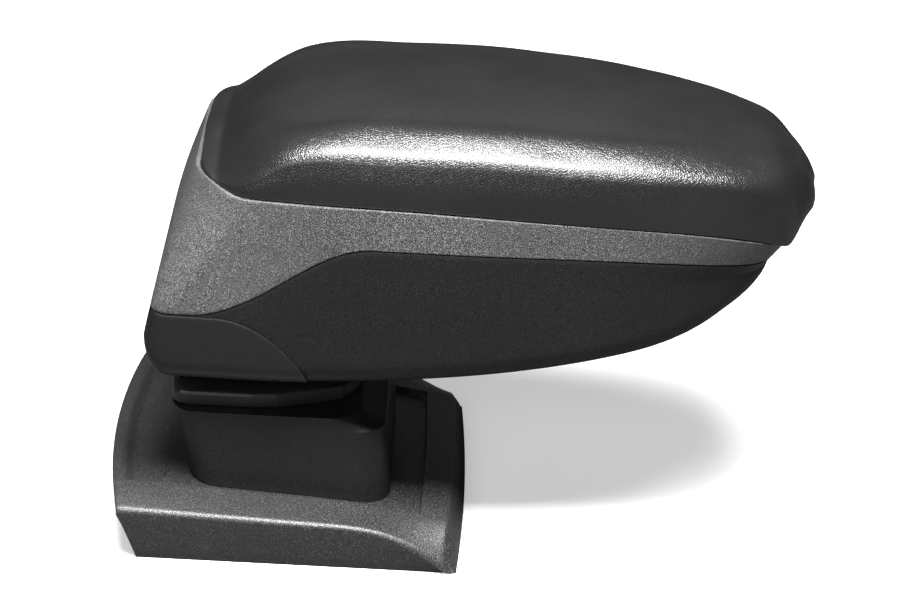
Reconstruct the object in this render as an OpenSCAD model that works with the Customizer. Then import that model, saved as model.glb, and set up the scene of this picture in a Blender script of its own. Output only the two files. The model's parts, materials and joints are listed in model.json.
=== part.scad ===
// Car centre armrest: a padded storage arm that tilts up on a post, the post standing
// in the recess of an adapter that is screwed onto the centre console.
// +X points to the nose of the arm, +Z up. The origin is the middle of the adapter's
// underside. The arm is drawn level, as it lies at rest.

/* [Adapter base] */
// Width of the adapter across its top edges
base_w = 170; // [160:1:180]
// Reach of the adapter behind the origin, at the middle of its rear edge
base_rear = 96.5; // [92:0.5:104]
// Reach of the adapter in front of the origin, at the middle of its front edge
base_front = 80.5; // [78:0.5:88]
// Height of the rim beside the recess, at the origin
base_h = 26.2; // [25:0.2:30]
// Fall of the rim for each millimetre towards the nose
rim_fall = 0.055; // [0.04:0.005:0.07]
// Width of the rim beside the recess
rim_side = 23; // [20:0.5:25]
// Width of the rim behind the recess
rim_rear = 5.5; // [4:0.5:8]
// Width of the rim in front of the recess
rim_front = 20; // [18:0.5:24]
// Depth of the recess
recess_d = 3.8; // [3:0.1:4.5]
// Wall of the adapter moulding
base_wall = 3; // [2.4:0.1:3.4]
// Tuck of the rear face towards its lower edge
base_tuck = 9.7; // [6:0.1:11]
// Spacing of the console screws along the part
mount_dx = 104; // [96:1:110]
// Pilot hole of a console screw
mount_hole_d = 4.2; // [3.5:0.1:5]
// Depth of that pilot hole
mount_hole_l = 10; // [8:0.5:12]

/* [Post] */
// Height of the ledge on the post above the underside
post_z = 65; // [62:0.1:67]
// Width of the post at its ledge
post_w = 104; // [98:1:108]
// Distance of the ledge's rear edge behind the origin
post_rear = 65.5; // [64:0.5:68]
// Distance of the front face's foot before the origin
post_front = 43; // [41:0.5:45]
// Wall of the post moulding
post_wall = 3; // [2.5:0.1:3.5]
// Thickness of the ledge
ledge_t = 4; // [3:0.5:5]
// Radius of the post's upright corners
post_r = 14; // [10:0.5:18]
// Thickness of the steel bracket in the post
bracket_t = 2.5; // [2:0.5:3]

/* [Tilt foot] */
// Thickness of the foot's flange
flange_t = 8; // [7:0.5:9]
// Width of the flange
flange_w = 91; // [86:1:94]
// Width of the neck and the drum
neck_w = 52; // [46:1:54]
// Radius of the drum
drum_r = 13; // [12:0.5:14]
// Diameter of the tilt axle
axle_d = 8; // [7:0.5:10]
// Distance of the tilt axis behind the origin
pivot_x = 52; // [50:0.5:53]
// Height of the tilt axis above the arm's lowest face
pivot_up = 17.4; // [17:0.1:18.5]
// Gap between the flange and the arm
foot_gap = 14.6; // [14:0.1:16]

/* [Arm body] */
// Width of the arm at its widest
arm_w = 140; // [134:1:144]
// Distance of the arm's rear face behind the origin
arm_rear = 77.4; // [76:0.1:79]
// Reach of the shells' nose in front of the origin
shell_nose = 221; // [216:1:226]
// Wall of the two shells
shell_wall = 2.6; // [2.2:0.1:3]
// Height of the seam above the arm's lowest face, in front
seam_front = 78; // [78:0.5:84]
// Height of the seam above the arm's lowest face, at the rear
seam_rear = 37.7; // [37:0.1:39]
// Gap between the two shells at the seam
seam_gap = 0.6; // [0.6:0.05:0.8]
// Radius of the lower shell's bottom edges
belly_r = 14; // [10:0.5:16]
// Radius of the shells' rear corners at the bottom, seen from above
rear_r = 9; // [8:0.5:9.5]
// How much larger that radius is at the top of the hood
corner_gain = 26; // [20:1:30]
// Thickness of the side caps over the shell
cap_t = 1.2; // [1.1:0.1:1.8]
// Length of the side caps
cap_len = 80; // [76:0.5:84]
// Height of the side caps above the arm's lowest face
cap_h = 40; // [38:0.5:41]

/* [Lid and cushion] */
// Height of the cushion's lower edge above the arm's lowest face
deck_up = 99.4; // [98:0.2:102]
// Width of that rim
lip_w = 4; // [3:0.5:5]
// Height of the cushion's shoulders above its lower edge
cushion_t = 34; // [28:0.5:38]
// Extra height of the cushion along its middle
cushion_crown = 3.5; // [0:0.5:6]
// Reach of the cushion's lip in front of the origin
cushion_nose = 240.5; // [236:0.5:246]
// Radius of the cushion's shoulders
shoulder_r = 15; // [10:0.5:18]
// Thickness of the board under the cushion
board_t = 5; // [4:0.5:6]
// Distance of the lid's hinge axis behind the origin
hinge_x = 70.6; // [70:0.1:71.2]
// Height of the lid's hinge axis above the arm's lowest face
hinge_up = 32; // [31.5:0.1:32.3]
// Radius of the lid's hinge barrels
barrel_r = 4.8; // [4.2:0.1:5]
// Diameter of the lid's hinge pin
pin_d = 4; // [3:0.5:5]

/* [Storage bin] */
// Wall of the storage bin
bin_wall = 2; // [1.6:0.1:2.4]
// Height of the bin's rim above the arm's lowest face
bin_top = 70; // [64:0.5:72]
// Start of the bin in front of the tilt axis
bin_start = 34; // [32:1:40]
// Thickness of the mat in the bin
mat_t = 2; // [1.5:0.5:3]

/* [Hidden] */

black = "#232325";
soft_black = "#1b1b1c";
steel = "#8d9094";

// Clearances: between moulded pieces, of a running pin, and of a screw in its hole
fit = 0.3;
run = 0.05;
screw_fit = 0.25;
// Overlap that makes a union or a cut certain
eps = 0.5;

// Screws: shank and head
screw_d = 4;
head_d = 8;
head_t = 2.6;
bolt_d = 6;
bolt_head_d = 10;
bolt_head_t = 4;

function clamp(v, a, b) = min(max(v, a), b);
function smooth(t) = let (u = clamp(t, 0, 1)) u * u * (3 - 2 * u);
function mix(a, b, t) = a + (b - a) * t;
function flat(rows) = [for (r = rows) for (p = r) p];

// Faces between successive rows of points, where each row has n points. A turned strip
// has its faces the other way round. The diagonals run out to the four corners.
function strip(k0, n, rows, turned = false) = flat([
    for (i = [0 : rows - 2]) [
        for (j = [0 : n - 2]) let (
            a = k0 + i * n + j,
            b = a + 1,
            c = a + n,
            d = c + 1,
            out = (2 * i < rows - 1) == (2 * j < n - 1)
        ) each out ? (turned ? [[a, b, d], [a, d, c]] : [[a, d, b], [a, c, d]])
            : (turned ? [[a, b, c], [b, d, c]] : [[a, c, b], [b, c, d]])
    ]
]);

// Border of a grid of points, against the turn of the faces along it
function border(n, rows) = concat(
    [for (j = [0 : n - 1]) j],
    [for (i = [1 : rows - 1]) i * n + n - 1],
    [for (j = [n - 2 : -1 : 0]) (rows - 1) * n + j],
    [for (i = [rows - 2 : -1 : 1]) i * n]
);

// Solid between two grids of points with the same rows and columns. The outer grid is
// seen from outside with its rows from rear to front and its columns from right to left.
module skin(outer, inner) {
    rows = len(outer);
    n = len(outer[0]);
    k = rows * n;
    edge = border(n, rows);
    m = len(edge);
    rim = flat([for (e = [0 : m - 1]) let (
        a = edge[e],
        b = edge[(e + 1) % m]
    ) [[a, b, b + k], [a, b + k, a + k]]]);
    polyhedron(
        points = concat(flat(outer), flat(inner)),
        faces = concat(strip(0, n, rows), strip(k, n, rows, true), rim),
        convexity = 10
    );
}

/* Adapter base */

base_hw = base_w / 2;
side_draft = 2;
bow_rear = 8.8;
bow_front = 2.8;
// Height of the rim's inner edge, and of the adapter's outer edge, along the part
function rim_z(x) = base_h - rim_fall * x - 0.0009 * pow(max(x, 0), 2);
function edge_z(x) = base_h - 1.1 - 0.03 * x
    - 0.0076 * pow(max(x - 24, 0), 2);

inner_rear = base_rear - rim_rear;
inner_front = base_front - rim_front;
floor_rear = inner_rear - 5.2;
floor_side = base_hw - rim_side - 1.2;

// Stations along the adapter: distance from the origin, how far down the front or rear
// face the station is, from 0 on the top to 1 on the underside, and for the stations
// behind the recess their place along the underside's edge
base_x = [
    [-base_rear + base_tuck, 1, 0], [-base_rear + 1.2, 0.1, 1], [-base_rear, 0.03, 2],
    [-base_rear + 1, 0, 3], [-inner_rear, 0, 5], [-floor_rear, 0, 8],
    each [for (t = [1 : 7]) [mix(-floor_rear, inner_front - 2.8, t / 8), 0, 0]],
    [inner_front - 2.8, 0, 0], [inner_front - 2.2, 0, 0], [inner_front - 1.4, 0, 0],
    [inner_front - 0.6, 0, 0], [inner_front + 0.2, 0, 0],
    [mix(inner_front, base_front, 0.28), 0, 0], [mix(inner_front, base_front, 0.52), 0, 0],
    [base_front - 5.5, 0.1, 0], [base_front - 2.6, 0.34, 0], [base_front - 0.9, 0.68, 0],
    [base_front, 1, 0]
];
// Positions across the adapter, as shares of its half width with the height's kind:
// 0 underside, 1 outer edge, 2 rim, 3 recess floor
base_y = [
    [1, 0], [1, 1], [0.985, 1.1], [0.93, 1.4], [0.84, 1.75], [1 - rim_side / base_hw, 2],
    [floor_side / base_hw, 3], [0.4, 3], [0, 3]
];
base_cols = concat(
    [for (c = base_y) [-c[0], c[1]]],
    [for (j = [len(base_y) - 2 : -1 : 0]) base_y[j]]
);

function in_floor(x) = x >= -floor_rear - 0.1 && x <= inner_front - 0.9;
function bead(x) = abs(x - inner_front + 2.2) < 0.05 ? 0.9 : 0;

function base_top(x, kind) = let (
    r = rim_z(x),
    e = min(edge_z(x), r),
    share = clamp(2 - kind, 0, 1)
) kind >= 3 ? (in_floor(x) ? r - recess_d + bead(x) : r)
    : mix(r, e, pow(share, 1.7));

function base_point(s, c) = let (
    y = c[0] * base_hw,
    bow = s[0] < 0
        ? bow_rear * pow(c[0], 2) * smooth(-s[0] / base_rear)
        : -bow_front * pow(c[0], 2) * smooth(s[0] / base_front),
    low = c[1] == 0 ? 1 : s[1],
    foot = c[1] == 0 && s[2] > 0 ? -base_rear + base_tuck + s[2] : s[0],
    top = base_top(clamp(s[0], -base_rear, base_front - 3), c[1]),
    z = max(top * (1 - low), 0)
) [foot + bow, y - sign(c[0]) * (c[1] == 0 ? side_draft : (side_draft + 0.6) * s[1] * abs(c[0])), z];

function base_inner(s, c) = let (
    p = base_point(s, c),
    wx = max(s[1], s[0] < 0 ? smooth((-s[0] - floor_rear) / (base_rear - floor_rear))
        : smooth((s[0] - inner_front) / (base_front - inner_front - 2))),
    wy = smooth((abs(p[1]) - base_hw + rim_side) / (rim_side - 3))
) [p[0] - sign(s[0]) * base_wall * wx, p[1] - sign(c[0]) * base_wall * wy,
    p[2] < 2 * base_wall ? p[2] / 2 : p[2] - base_wall];

// Post outline at a height: rear and front reach, half width and corner radius
post_seat = 14;
post_lean = 0.26;
post_draft = 0.047;
post_shoulder = 7.2;
post_step = 12.5;

function post_back(z) = -post_rear + (post_z - z) * post_lean;
function post_fore(z) = z < post_z - post_shoulder
    ? post_front - 3.5 * pow((z - post_seat) / (post_z - post_shoulder - post_seat), 2)
    : post_front - 3.5 - post_step * pow(max(z - post_z + post_shoulder, 0) / post_shoulder, 0.85);
function post_hw(z) = post_w / 2 + (post_z - z) * post_draft;

function post_ring(z, grow = 0) = let (
    x0 = post_back(z) - grow,
    x1 = post_fore(z) + grow,
    h = post_hw(z) + grow,
    r = post_r + grow
) [for (q = [0 : 3]) for (a = [0 : 15 : 90]) let (
    sx = (q == 0 || q == 3) ? 1 : -1,
    sy = q < 2 ? 1 : -1,
    b = q * 90 + a,
    cx = sx > 0 ? x1 - r * 1.25 : x0 + r,
    rx = sx > 0 ? r * 1.25 : r
) [cx + rx * cos(b), sy * (h - r) + r * sin(b), z]];

module post_outline(z, grow = 0) {
    polygon([for (p = post_ring(z, grow)) [p[0], p[1]]]);
}

// Closed solid through rings of points, each ring seen from above anticlockwise
module stack(rings) {
    n = len(rings[0]);
    m = len(rings);
    polyhedron(
        points = flat(rings),
        faces = concat(
            [[for (j = [0 : n - 1]) j]],
            [for (i = [0 : m - 2]) for (j = [0 : n - 1]) let (
                a = i * n + j,
                b = i * n + (j + 1) % n
            ) each [[a, a + n, b + n], [a, b + n, b]]],
            [[for (j = [n - 1 : -1 : 0]) (m - 1) * n + j]]
        ),
        convexity = 6
    );
}

function base_skin() = [for (s = base_x) [for (c = base_cols) base_point(s, c)]];
function base_under() = [for (s = base_x) [for (c = base_cols) base_inner(s, c)]];

/* Pieces of the base */

seat_t = 3.4;
boss_d = 11;
post_boss_x = [-44, 26];
post_boss_y = 46;
bracket_bolt_x = [-36, 6];
bracket_bolt_y = 30;
foot_bolt_x = [-40, -14];
foot_bolt_y = 31;

module at_corners(xs, y) {
    for (x = xs) for (s = [-1, 1]) translate([x, s * y, 0]) children();
}

// The adapter's cover, bonded onto the tray's pillars
module base_housing() {
    color(black) difference() {
        skin(base_skin(), base_under());
        translate([0, 0, post_seat - seat_t]) linear_extrude(base_h) {
            post_outline(post_seat, fit);
            post_outline(base_h + 1.8, fit);
        }
    }
}

// The steel tray under the cover, with pillars for it and the console's screw holes
module seat_tray() {
    color(steel) difference() {
        union() {
            translate([-tray_rear, -tray_w / 2, post_seat - seat_t])
                cube([tray_rear + tray_front, tray_w, seat_t]);
            at_corners([-mount_dx / 2, mount_dx / 2], mount_dy / 2)
                cylinder(h = post_seat, r = boss_d / 2, $fn = 32);
            for (k = [0, 1]) for (s = [-1, 1]) translate([pillar_x[k], s * pillar_y[k], 0])
                cylinder(h = pillar_z[k], r = boss_d / 2, $fn = 32);
            for (x = [-tray_rear, tray_front - base_wall])
                translate([x, -tray_w / 2, 0]) cube([base_wall, tray_w, post_seat - eps]);
        }
        translate([0, 0, -eps]) {
            at_corners(post_boss_x, post_boss_y)
                cylinder(h = base_h, r = screw_d / 2 + screw_fit, $fn = 24);
            at_corners(bracket_bolt_x, bracket_bolt_y)
                cylinder(h = base_h, r = bolt_d / 2 + screw_fit, $fn = 24);
            at_corners([-mount_dx / 2, mount_dx / 2], mount_dy / 2)
                cylinder(h = mount_hole_l + eps, r = mount_hole_d / 2, $fn = 24);
        }
    }
}

pillar_x = [-66, 30];
pillar_y = [floor_side - 6.8, base_hw - 15];
pillar_z = [
    rim_z(pillar_x[0] + boss_d / 2) - recess_d - base_wall - fit,
    rim_z(pillar_x[1] + boss_d / 2) - base_wall - fit
];
tray_rear = base_rear - 22.5;
tray_front = base_front - 30;
tray_w = base_w - 22;
mount_dy = base_w - 40;

post_levels = [
    post_seat, 30, 46, post_z - post_shoulder, post_z - 5, post_z - 2.8, post_z - 1.1, post_z
];

module post() {
    color(black) difference() {
        union() {
            difference() {
                stack([for (z = post_levels) post_ring(z)]);
                stack([
                    for (z = [post_seat, 30, 46, post_z - post_shoulder, post_z - ledge_t])
                        [for (p = post_ring(z, -post_wall)) [p[0], p[1], z < 15 ? z - 1 : z]]
                ]);
            }
            intersection() {
                at_corners(post_boss_x, post_boss_y) translate([0, 0, post_seat])
                    cylinder(h = post_z - post_seat - 1, r = boss_d / 2, $fn = 32);
                stack([for (z = post_levels) post_ring(z, -0.4)]);
            }
        }
        at_corners(post_boss_x, post_boss_y) translate([0, 0, post_seat - eps])
            cylinder(h = screw_grip + 2, r = screw_d / 2 + thread_fit, $fn = 24);
        at_corners(foot_bolt_x, foot_bolt_y) translate([0, 0, post_z - 2 * ledge_t])
            cylinder(h = 3 * ledge_t, r = bolt_d / 2 + screw_fit, $fn = 24);
    }
}

screw_grip = 12;
thread_fit = 0.05;

module screw(l, d = screw_d, hd = head_d, ht = head_t) {
    cylinder(h = l, r = d / 2, $fn = 24);
    translate([0, 0, -ht]) difference() {
        cylinder(h = ht, r = hd / 2, $fn = 32);
        translate([0, 0, -eps]) cylinder(h = ht / 2 + eps, r = hd / 4, $fn = 6);
    }
}

module post_screws() {
    color(steel) at_corners(post_boss_x, post_boss_y)
        translate([0, 0, post_seat - seat_t]) screw(seat_t + screw_grip);
}

bracket_w = 80;
bracket_x0 = -47;
bracket_x1 = 16;

module post_bracket() {
    top = post_z - ledge_t;
    color(steel) difference() {
        union() {
            translate([bracket_x0, -bracket_w / 2, top - bracket_t])
                cube([bracket_x1 - bracket_x0, bracket_w, bracket_t]);
            for (s = [-1, 1]) {
                translate([bracket_x0, s * (bracket_w - bracket_t) / 2 - bracket_t / 2, post_seat])
                    cube([bracket_x1 - bracket_x0 - 4, bracket_t, top - post_seat]);
                translate([bracket_x0, s * bracket_bolt_y - 10, post_seat])
                    cube([bracket_x1 - bracket_x0 - 4, 20, bracket_t]);
            }
        }
        at_corners(bracket_bolt_x, bracket_bolt_y)
            cylinder(h = post_z / 2, r = bolt_d / 2 + thread_fit, $fn = 24);
        at_corners(foot_bolt_x, foot_bolt_y) translate([0, 0, post_z / 2])
            cylinder(h = post_z, r = bolt_d / 2 + screw_fit, $fn = 24);
    }
}

module bracket_bolts() {
    color(steel) at_corners(bracket_bolt_x, bracket_bolt_y)
        translate([0, 0, post_seat - seat_t])
        screw(seat_t + bracket_t + 2, bolt_d, bolt_head_d, bolt_head_t);
}

/* Tilt foot */

foot_z = post_z + flange_t;
arm_z = foot_z + foot_gap;
pivot_z = arm_z + pivot_up;
flange_hw = flange_w / 2;
flange_rear = post_rear;
flange_front = 28;
neck_rear = 8;
neck_front = 14;
stop_x0 = 20;
stop_x1 = 30;
stop_drop = 10.4;
pad_t = 2;

// Plan of the flange at an inset from its edge
function flange_plan(i) = [
    each [for (a = [0 : 22.5 : 90]) [
        flange_front - i - 17 + 17 * cos(a),
        (flange_hw - 10 - i) * sin(a)
    ]],
    [0, flange_hw - 6 - i], [-14, flange_hw - 1.4 - i], [-26, flange_hw - i],
    each [for (a = [0 : 30 : 90]) [
        -flange_rear + 8 + i - 8 * sin(a),
        flange_hw - 8 - i + 8 * cos(a)
    ]]
];
function mirrored(p) = concat(p, [for (k = [len(p) - 1 : -1 : 1]) [p[k][0], -p[k][1]]]);

module tilt_foot() {
    color(steel) difference() {
        union() {
            stack([
                for (l = [[0.8, 0], [0, 0.8], [0, flange_t - 2], [0.6, flange_t - 0.6], [2, flange_t]])
                    [for (p = mirrored(flange_plan(l[0]))) [p[0], p[1], post_z + l[1]]]
            ]);
            translate([-flange_rear + 0.4, -flange_hw + 12, foot_z - 2])
                cube([3, flange_w - 24, 4.6]);
            translate([-pivot_x, neck_w / 2, pivot_z]) rotate([90, 0, 0])
                linear_extrude(neck_w) polygon([
                    [-neck_rear - 6, post_z + 2 - pivot_z], [stop_x1 + 3, post_z + 2 - pivot_z],
                    [stop_x1, -stop_drop], [stop_x0, -stop_drop], [drum_r - 1, 0],
                    [0, drum_r - 1], [1 - drum_r, 0], [-neck_rear, -drum_r]
                ]);
            translate([-pivot_x, 0, pivot_z]) rotate([90, 0, 0])
                cylinder(h = neck_w + 4, r = drum_r, center = true, $fn = 64);
        }
        translate([-pivot_x, 0, pivot_z]) rotate([90, 0, 0])
            cylinder(h = neck_w + 10, r = axle_d / 2, center = true, $fn = 48);
        at_corners(foot_bolt_x, foot_bolt_y) translate([0, 0, post_z - eps])
            cylinder(h = flange_t - 1.5 + eps, r = bolt_d / 2 + thread_fit, $fn = 24);
        for (s = [-1, 1]) for (k = [0, 1])
            translate([7 + 5 * k, s * (flange_hw - 11.6 - 4 * k), post_z - eps])
                cylinder(h = flange_t / 2, r = 2.1, $fn = 24);
    }
}

module foot_bolts() {
    color(steel) at_corners(foot_bolt_x, foot_bolt_y)
        translate([0, 0, post_z - ledge_t - bracket_t])
        screw(bracket_t + ledge_t + flange_t - 2, bolt_d, bolt_head_d, bolt_head_t);
}

module stop_pad() {
    color(soft_black) translate([stop_x0 - pivot_x + 0.5, -neck_w / 2 + 3, pivot_z - stop_drop])
        cube([stop_x1 - stop_x0 - 1, neck_w - 6, pad_t]);
}

cheek_gap = 1.5;
cheek_t = 2.5;
bush_wall = 2;
bush_lip = 1.5;
cheek_y = neck_w / 2 + 2 + cheek_gap;
axle_end = cheek_y + cheek_t + bush_lip + 0.2;
axle_head_d = 13;
axle_head_t = 3;

module tilt_axle() {
    color(steel) translate([-pivot_x, 0, pivot_z]) rotate([-90, 0, 0]) {
        translate([0, 0, -axle_end - axle_head_t])
            cylinder(h = axle_head_t, r = axle_head_d / 2, $fn = 48);
        translate([0, 0, -axle_end])
            cylinder(h = 2 * axle_end + 7, r = axle_d / 2, $fn = 48);
    }
}

module axle_nut() {
    color(steel) translate([-pivot_x, axle_end, pivot_z]) rotate([-90, 0, 0])
        difference() {
            cylinder(h = 6, r = axle_d * 0.86, $fn = 6);
            translate([0, 0, -eps]) cylinder(h = 7, r = axle_d / 2, $fn = 48);
        }
}

/* Surface of the arm: heights are above the arm's lowest face */

arm_hw = arm_w / 2;
arm_mid = (shell_nose - arm_rear) / 2;
arm_half = (shell_nose + arm_rear) / 2;

// Shift of the leaning rear face at a height
function lean(z) = let (d = max(z - 22, 0)) 0.17 * d + 0.00125 * d * d;
function fade(s) = 1 - smooth((s + arm_rear) / 95);
function push(z) = 0.75 * max(z - 64, 0);
function real_x(s, z) = s + lean(z) * fade(s) + push(z) * smooth((s - 120) / (shell_nose - 120));

// Seam between the shells, and the cushion's lower edge, along the arm
function seam_x(x) = mix(seam_rear, seam_front, smooth((x + 56) / 86))
    - 11 * pow(max(x - 90, 0) / 130, 2.6);
function seam(s) = seam_x(s + 3 * fade(s));
function deck_x(x) = deck_up - 0.00023 * pow(max(x + 10, 0), 2)
    - 8 * pow(max(x - 120, 0) / 95, 3) + 4 * smooth((-30 - x) / 22);
function deck(s) = deck_x(s + lean(100) * fade(s) + 6 * smooth((s - 120) / (shell_nose - 120)));

// Half width that the shells keep at the very tip
tip_hw = 1.5;

// Belly line along the arm
tip_z = seam(shell_nose) - 3;
belly_c = 3.5;
function belly_slow(s) = belly_c * pow(max(s + 46, 0) / 82, 2.1);
function belly(s) = belly_slow(s)
    + (tip_z - belly_slow(shell_nose)) * pow(max(s - 145, 0) / (shell_nose - 145), 3)
    + (s < belly_r - arm_rear
        ? belly_r - sqrt(max(pow(belly_r, 2) - pow(belly_r - s - arm_rear, 2), 0)) : 0);

// Half width of the outline at a station and height
function plan(s, z = 0) = let (
    r = rear_r + corner_gain * smooth((z - 30) / 75),
    w = arm_hw - 2.5 * (1 - smooth((s + arm_rear) / 90)),
    t = clamp((s - 60) / (shell_nose - 60), 0, 1),
    c = clamp((s + arm_rear) / r, 0, 1)
) max((w - r * (1 - sqrt(1 - pow(1 - c, 2)))) * pow(1 - pow(t, 2.4), 0.27), tip_hw);
function side(s, z) = plan(s, z) * (0.972 + 0.028 * clamp(z / 78, 0, 1)
    - 0.04 * fade(s) * clamp((z - 40) / 60, 0, 1));

// Stations along the arm
stations = [
    each [for (a = [0 : 18 : 90]) -arm_rear + rear_r * (1 - cos(a))],
    -arm_rear + belly_r, -58, -47, -36, -26, -16, -6, 4, 14, 26, 44, 66, 90,
    each [for (a = [12 : 13 : 77]) mix(92, shell_nose, sin(a))],
    mix(92, shell_nose, 0.991), mix(92, shell_nose, 0.998), shell_nose
];

// Cross-section of the lower shell, from the right seam round the belly to the left,
// where t lifts it onto the seam line for the rear face
side_steps = [0, 0.2, 0.4, 0.6, 0.8, 1];
round_steps = [15, 30, 45, 60, 75, 90];
function half_section(s, wall) = let (
    top = seam(s) - seam_gap / 2,
    low = min(belly(s) + wall, top - 0.8),
    r = min(belly_r, (top - low) * 0.5),
    ky = 1 - wall / arm_hw,
    wide = side(s, low + r) * ky,
    ry = min(r, wide * 0.5)
) concat(
    [for (k = side_steps) let (z = mix(top, low + r, k)) [side(s, z) * ky, z]],
    [for (a = round_steps) [wide - ry * (1 - cos(a)), low + r * (1 - sin(a))]],
    [[(wide - ry) * 0.55, low], [0, low]]
);
function section(s, wall) = let (h = half_section(s, wall), n = len(h)) concat(
    [for (p = h) [-p[0], p[1]]],
    [for (k = [n - 2 : -1 : 0]) h[k]]
);
function shell_row(s, wall, t = 0) = let (
    q = section(s, wall),
    n = len(q),
    si = arm_mid + (s - arm_mid) * (1 - wall / arm_half),
    top = seam(s) - seam_gap / 2
) [for (j = [0 : n - 1]) let (
    y = mix(q[j][0], q[0][0] * (1 - 2 * j / (n - 1)), t),
    z = mix(q[j][1], top, t)
) [real_x(si, z), y, z]];
function shell_grid(wall) = concat(
    [for (t = [1, 0.66, 0.33]) shell_row(stations[0], wall, t)],
    [for (s = stations) shell_row(s, wall)]
);

/* Pieces of the arm */

slot_hw = neck_w / 2 + 3;
slot_front = 34;
cut_z = hinge_up - barrel_r - 1;
hinge_hw = arm_hw - 8.5;
knuckle_in = slot_hw + 1;
knuckle_out = arm_hw - 16;
knuckle_gap = 0.3;
knuckle_a = mix(knuckle_in, knuckle_out, 0.3);
knuckle_b = mix(knuckle_in, knuckle_out, 0.7);
bin_boss_x = [-8, 144];
bin_boss_y = [arm_hw - 15, arm_hw - 24];
bin_boss_z = [3.2, 1.4];
plate_x = [-12, 50];
plate_y = 24;
plate_z = pivot_up - stop_drop + pad_t;
bin_x0 = bin_start - pivot_x;
bin_x1 = 158;
rim_t = 3;

module bin_spots() {
    for (k = [0, 1]) for (s = [-1, 1]) translate([bin_boss_x[k], s * bin_boss_y[k], 0]) children();
}

// Barrel along the lid's hinge axis between two distances to one side
module barrel(y0, y1, bore) {
    translate([-hinge_x, y1, hinge_up]) rotate([90, 0, 0]) difference() {
        cylinder(h = y1 - y0, r = barrel_r, $fn = 40);
        translate([0, 0, -eps]) cylinder(h = y1 - y0 + 2 * eps, r = bore, $fn = 32);
    }
}

module lower_shell() {
    color(black) translate([0, 0, arm_z]) difference() {
        union() {
            difference() {
                skin(shell_grid(0), shell_grid(shell_wall));
                translate([-arm_rear - 5, -hinge_hw, cut_z]) cube([20, 2 * hinge_hw, 30]);
            }
            for (m = [-1, 1]) scale([1, m, 1]) {
                for (y = [[knuckle_in, knuckle_a], [knuckle_b, knuckle_out]]) {
                    barrel(y[0], y[1], pin_d / 2);
                    translate([-hinge_x - barrel_r - 0.8, y[0], cut_z - 5])
                        cube([4.6, y[1] - y[0], 7.5]);
                }
            }
            for (k = [0, 1]) for (s = [-1, 1]) translate([bin_boss_x[k], s * bin_boss_y[k], 0])
                shell_boss(belly(bin_boss_x[k]) + bin_boss_z[k], bin_top - rim_t, 5);
            for (x = plate_x) for (s = [-1, 1]) translate([x, s * plate_y, 0])
                shell_boss(belly(x) + shell_wall / 2, plate_z, 5);
        }
        translate([-arm_rear - 5, -slot_hw, -eps])
            cube([arm_rear - pivot_x + 5 + slot_front, 2 * slot_hw, 3 * shell_wall]);
        translate([-arm_rear - 5, -slot_hw, -eps])
            cube([19, 2 * slot_hw, cut_z + 2]);
        bin_spots() translate([0, 0, bin_top - rim_t - screw_grip])
            cylinder(h = 2 * screw_grip, r = screw_d / 2 + thread_fit, $fn = 24);
        at_corners(plate_x, plate_y) translate([0, 0, 4.4])
            cylinder(h = 20, r = screw_d / 2 + thread_fit, $fn = 24);
    }
}

// Boss from inside the shell's floor up to a height
module shell_boss(foot, top, r) {
    translate([0, 0, foot]) cylinder(h = top - foot, r = r, $fn = 32);
}

cheek_x0 = -66;
cheek_x1 = 56;
cheek_low = 7;
cheek_rib = plate_z + cheek_t + 2;
plate_x0 = stop_x0 - pivot_x;

module hinge_bracket() {
    color(steel) translate([0, 0, arm_z]) difference() {
        union() {
            translate([plate_x0, -cheek_y - cheek_t, plate_z])
                cube([cheek_x1 - plate_x0, 2 * (cheek_y + cheek_t), cheek_t]);
            for (s = [-1, 1])
                translate([0, s * (cheek_y + cheek_t / 2) + cheek_t / 2, 0]) rotate([90, 0, 0])
                    linear_extrude(cheek_t) polygon([
                        [cheek_x0, pivot_up - 6], [cheek_x0 + 6, cheek_low],
                        [plate_x0 - 2, cheek_low], [plate_x0, plate_z], [cheek_x1, plate_z],
                        [cheek_x1, cheek_rib], [bin_x0 - 2, cheek_rib],
                        [bin_x0 - 4, pivot_up + 12], [cheek_x0 + 6, pivot_up + 12],
                        [cheek_x0, pivot_up + 6]
                    ]);
        }
        translate([-pivot_x, 0, pivot_up]) rotate([90, 0, 0])
            cylinder(h = 100, r = axle_d / 2 + bush_wall, center = true, $fn = 48);
        at_corners(plate_x, plate_y) translate([0, 0, plate_z - eps])
            cylinder(h = cheek_t + 2 * eps, r = screw_d / 2 + screw_fit, $fn = 24);
    }
}

module bush(s) {
    color(soft_black) translate([-pivot_x, s * cheek_y, pivot_z]) rotate([-90 * s, 0, 0])
        difference() {
            union() {
                cylinder(h = cheek_t + bush_lip, r = axle_d / 2 + bush_wall, $fn = 48);
                translate([0, 0, cheek_t])
                    cylinder(h = bush_lip, r = axle_d / 2 + 2 * bush_wall, $fn = 48);
            }
            translate([0, 0, -eps])
                cylinder(h = 3 * cheek_t, r = axle_d / 2 + run, $fn = 48);
        }
}

module bush_left() {
    bush(1);
}

module bush_right() {
    bush(-1);
}

module friction_washers() {
    color(steel) for (s = [-1, 1])
        translate([-pivot_x, s * cheek_y, pivot_z]) rotate([90 * s, 0, 0]) difference() {
            cylinder(h = cheek_gap - run, r = drum_r - 1, $fn = 48);
            translate([0, 0, -eps]) cylinder(h = 2 * cheek_gap, r = axle_d / 2 + run, $fn = 48);
        }
}

// A screw that hangs from its head, the tip down
module down_screw(l) {
    mirror([0, 0, 1]) screw(l);
}

module bracket_screws() {
    color(steel) at_corners(plate_x, plate_y)
        translate([0, 0, arm_z + plate_z + cheek_t]) down_screw(cheek_t + 4.4);
}

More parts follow.
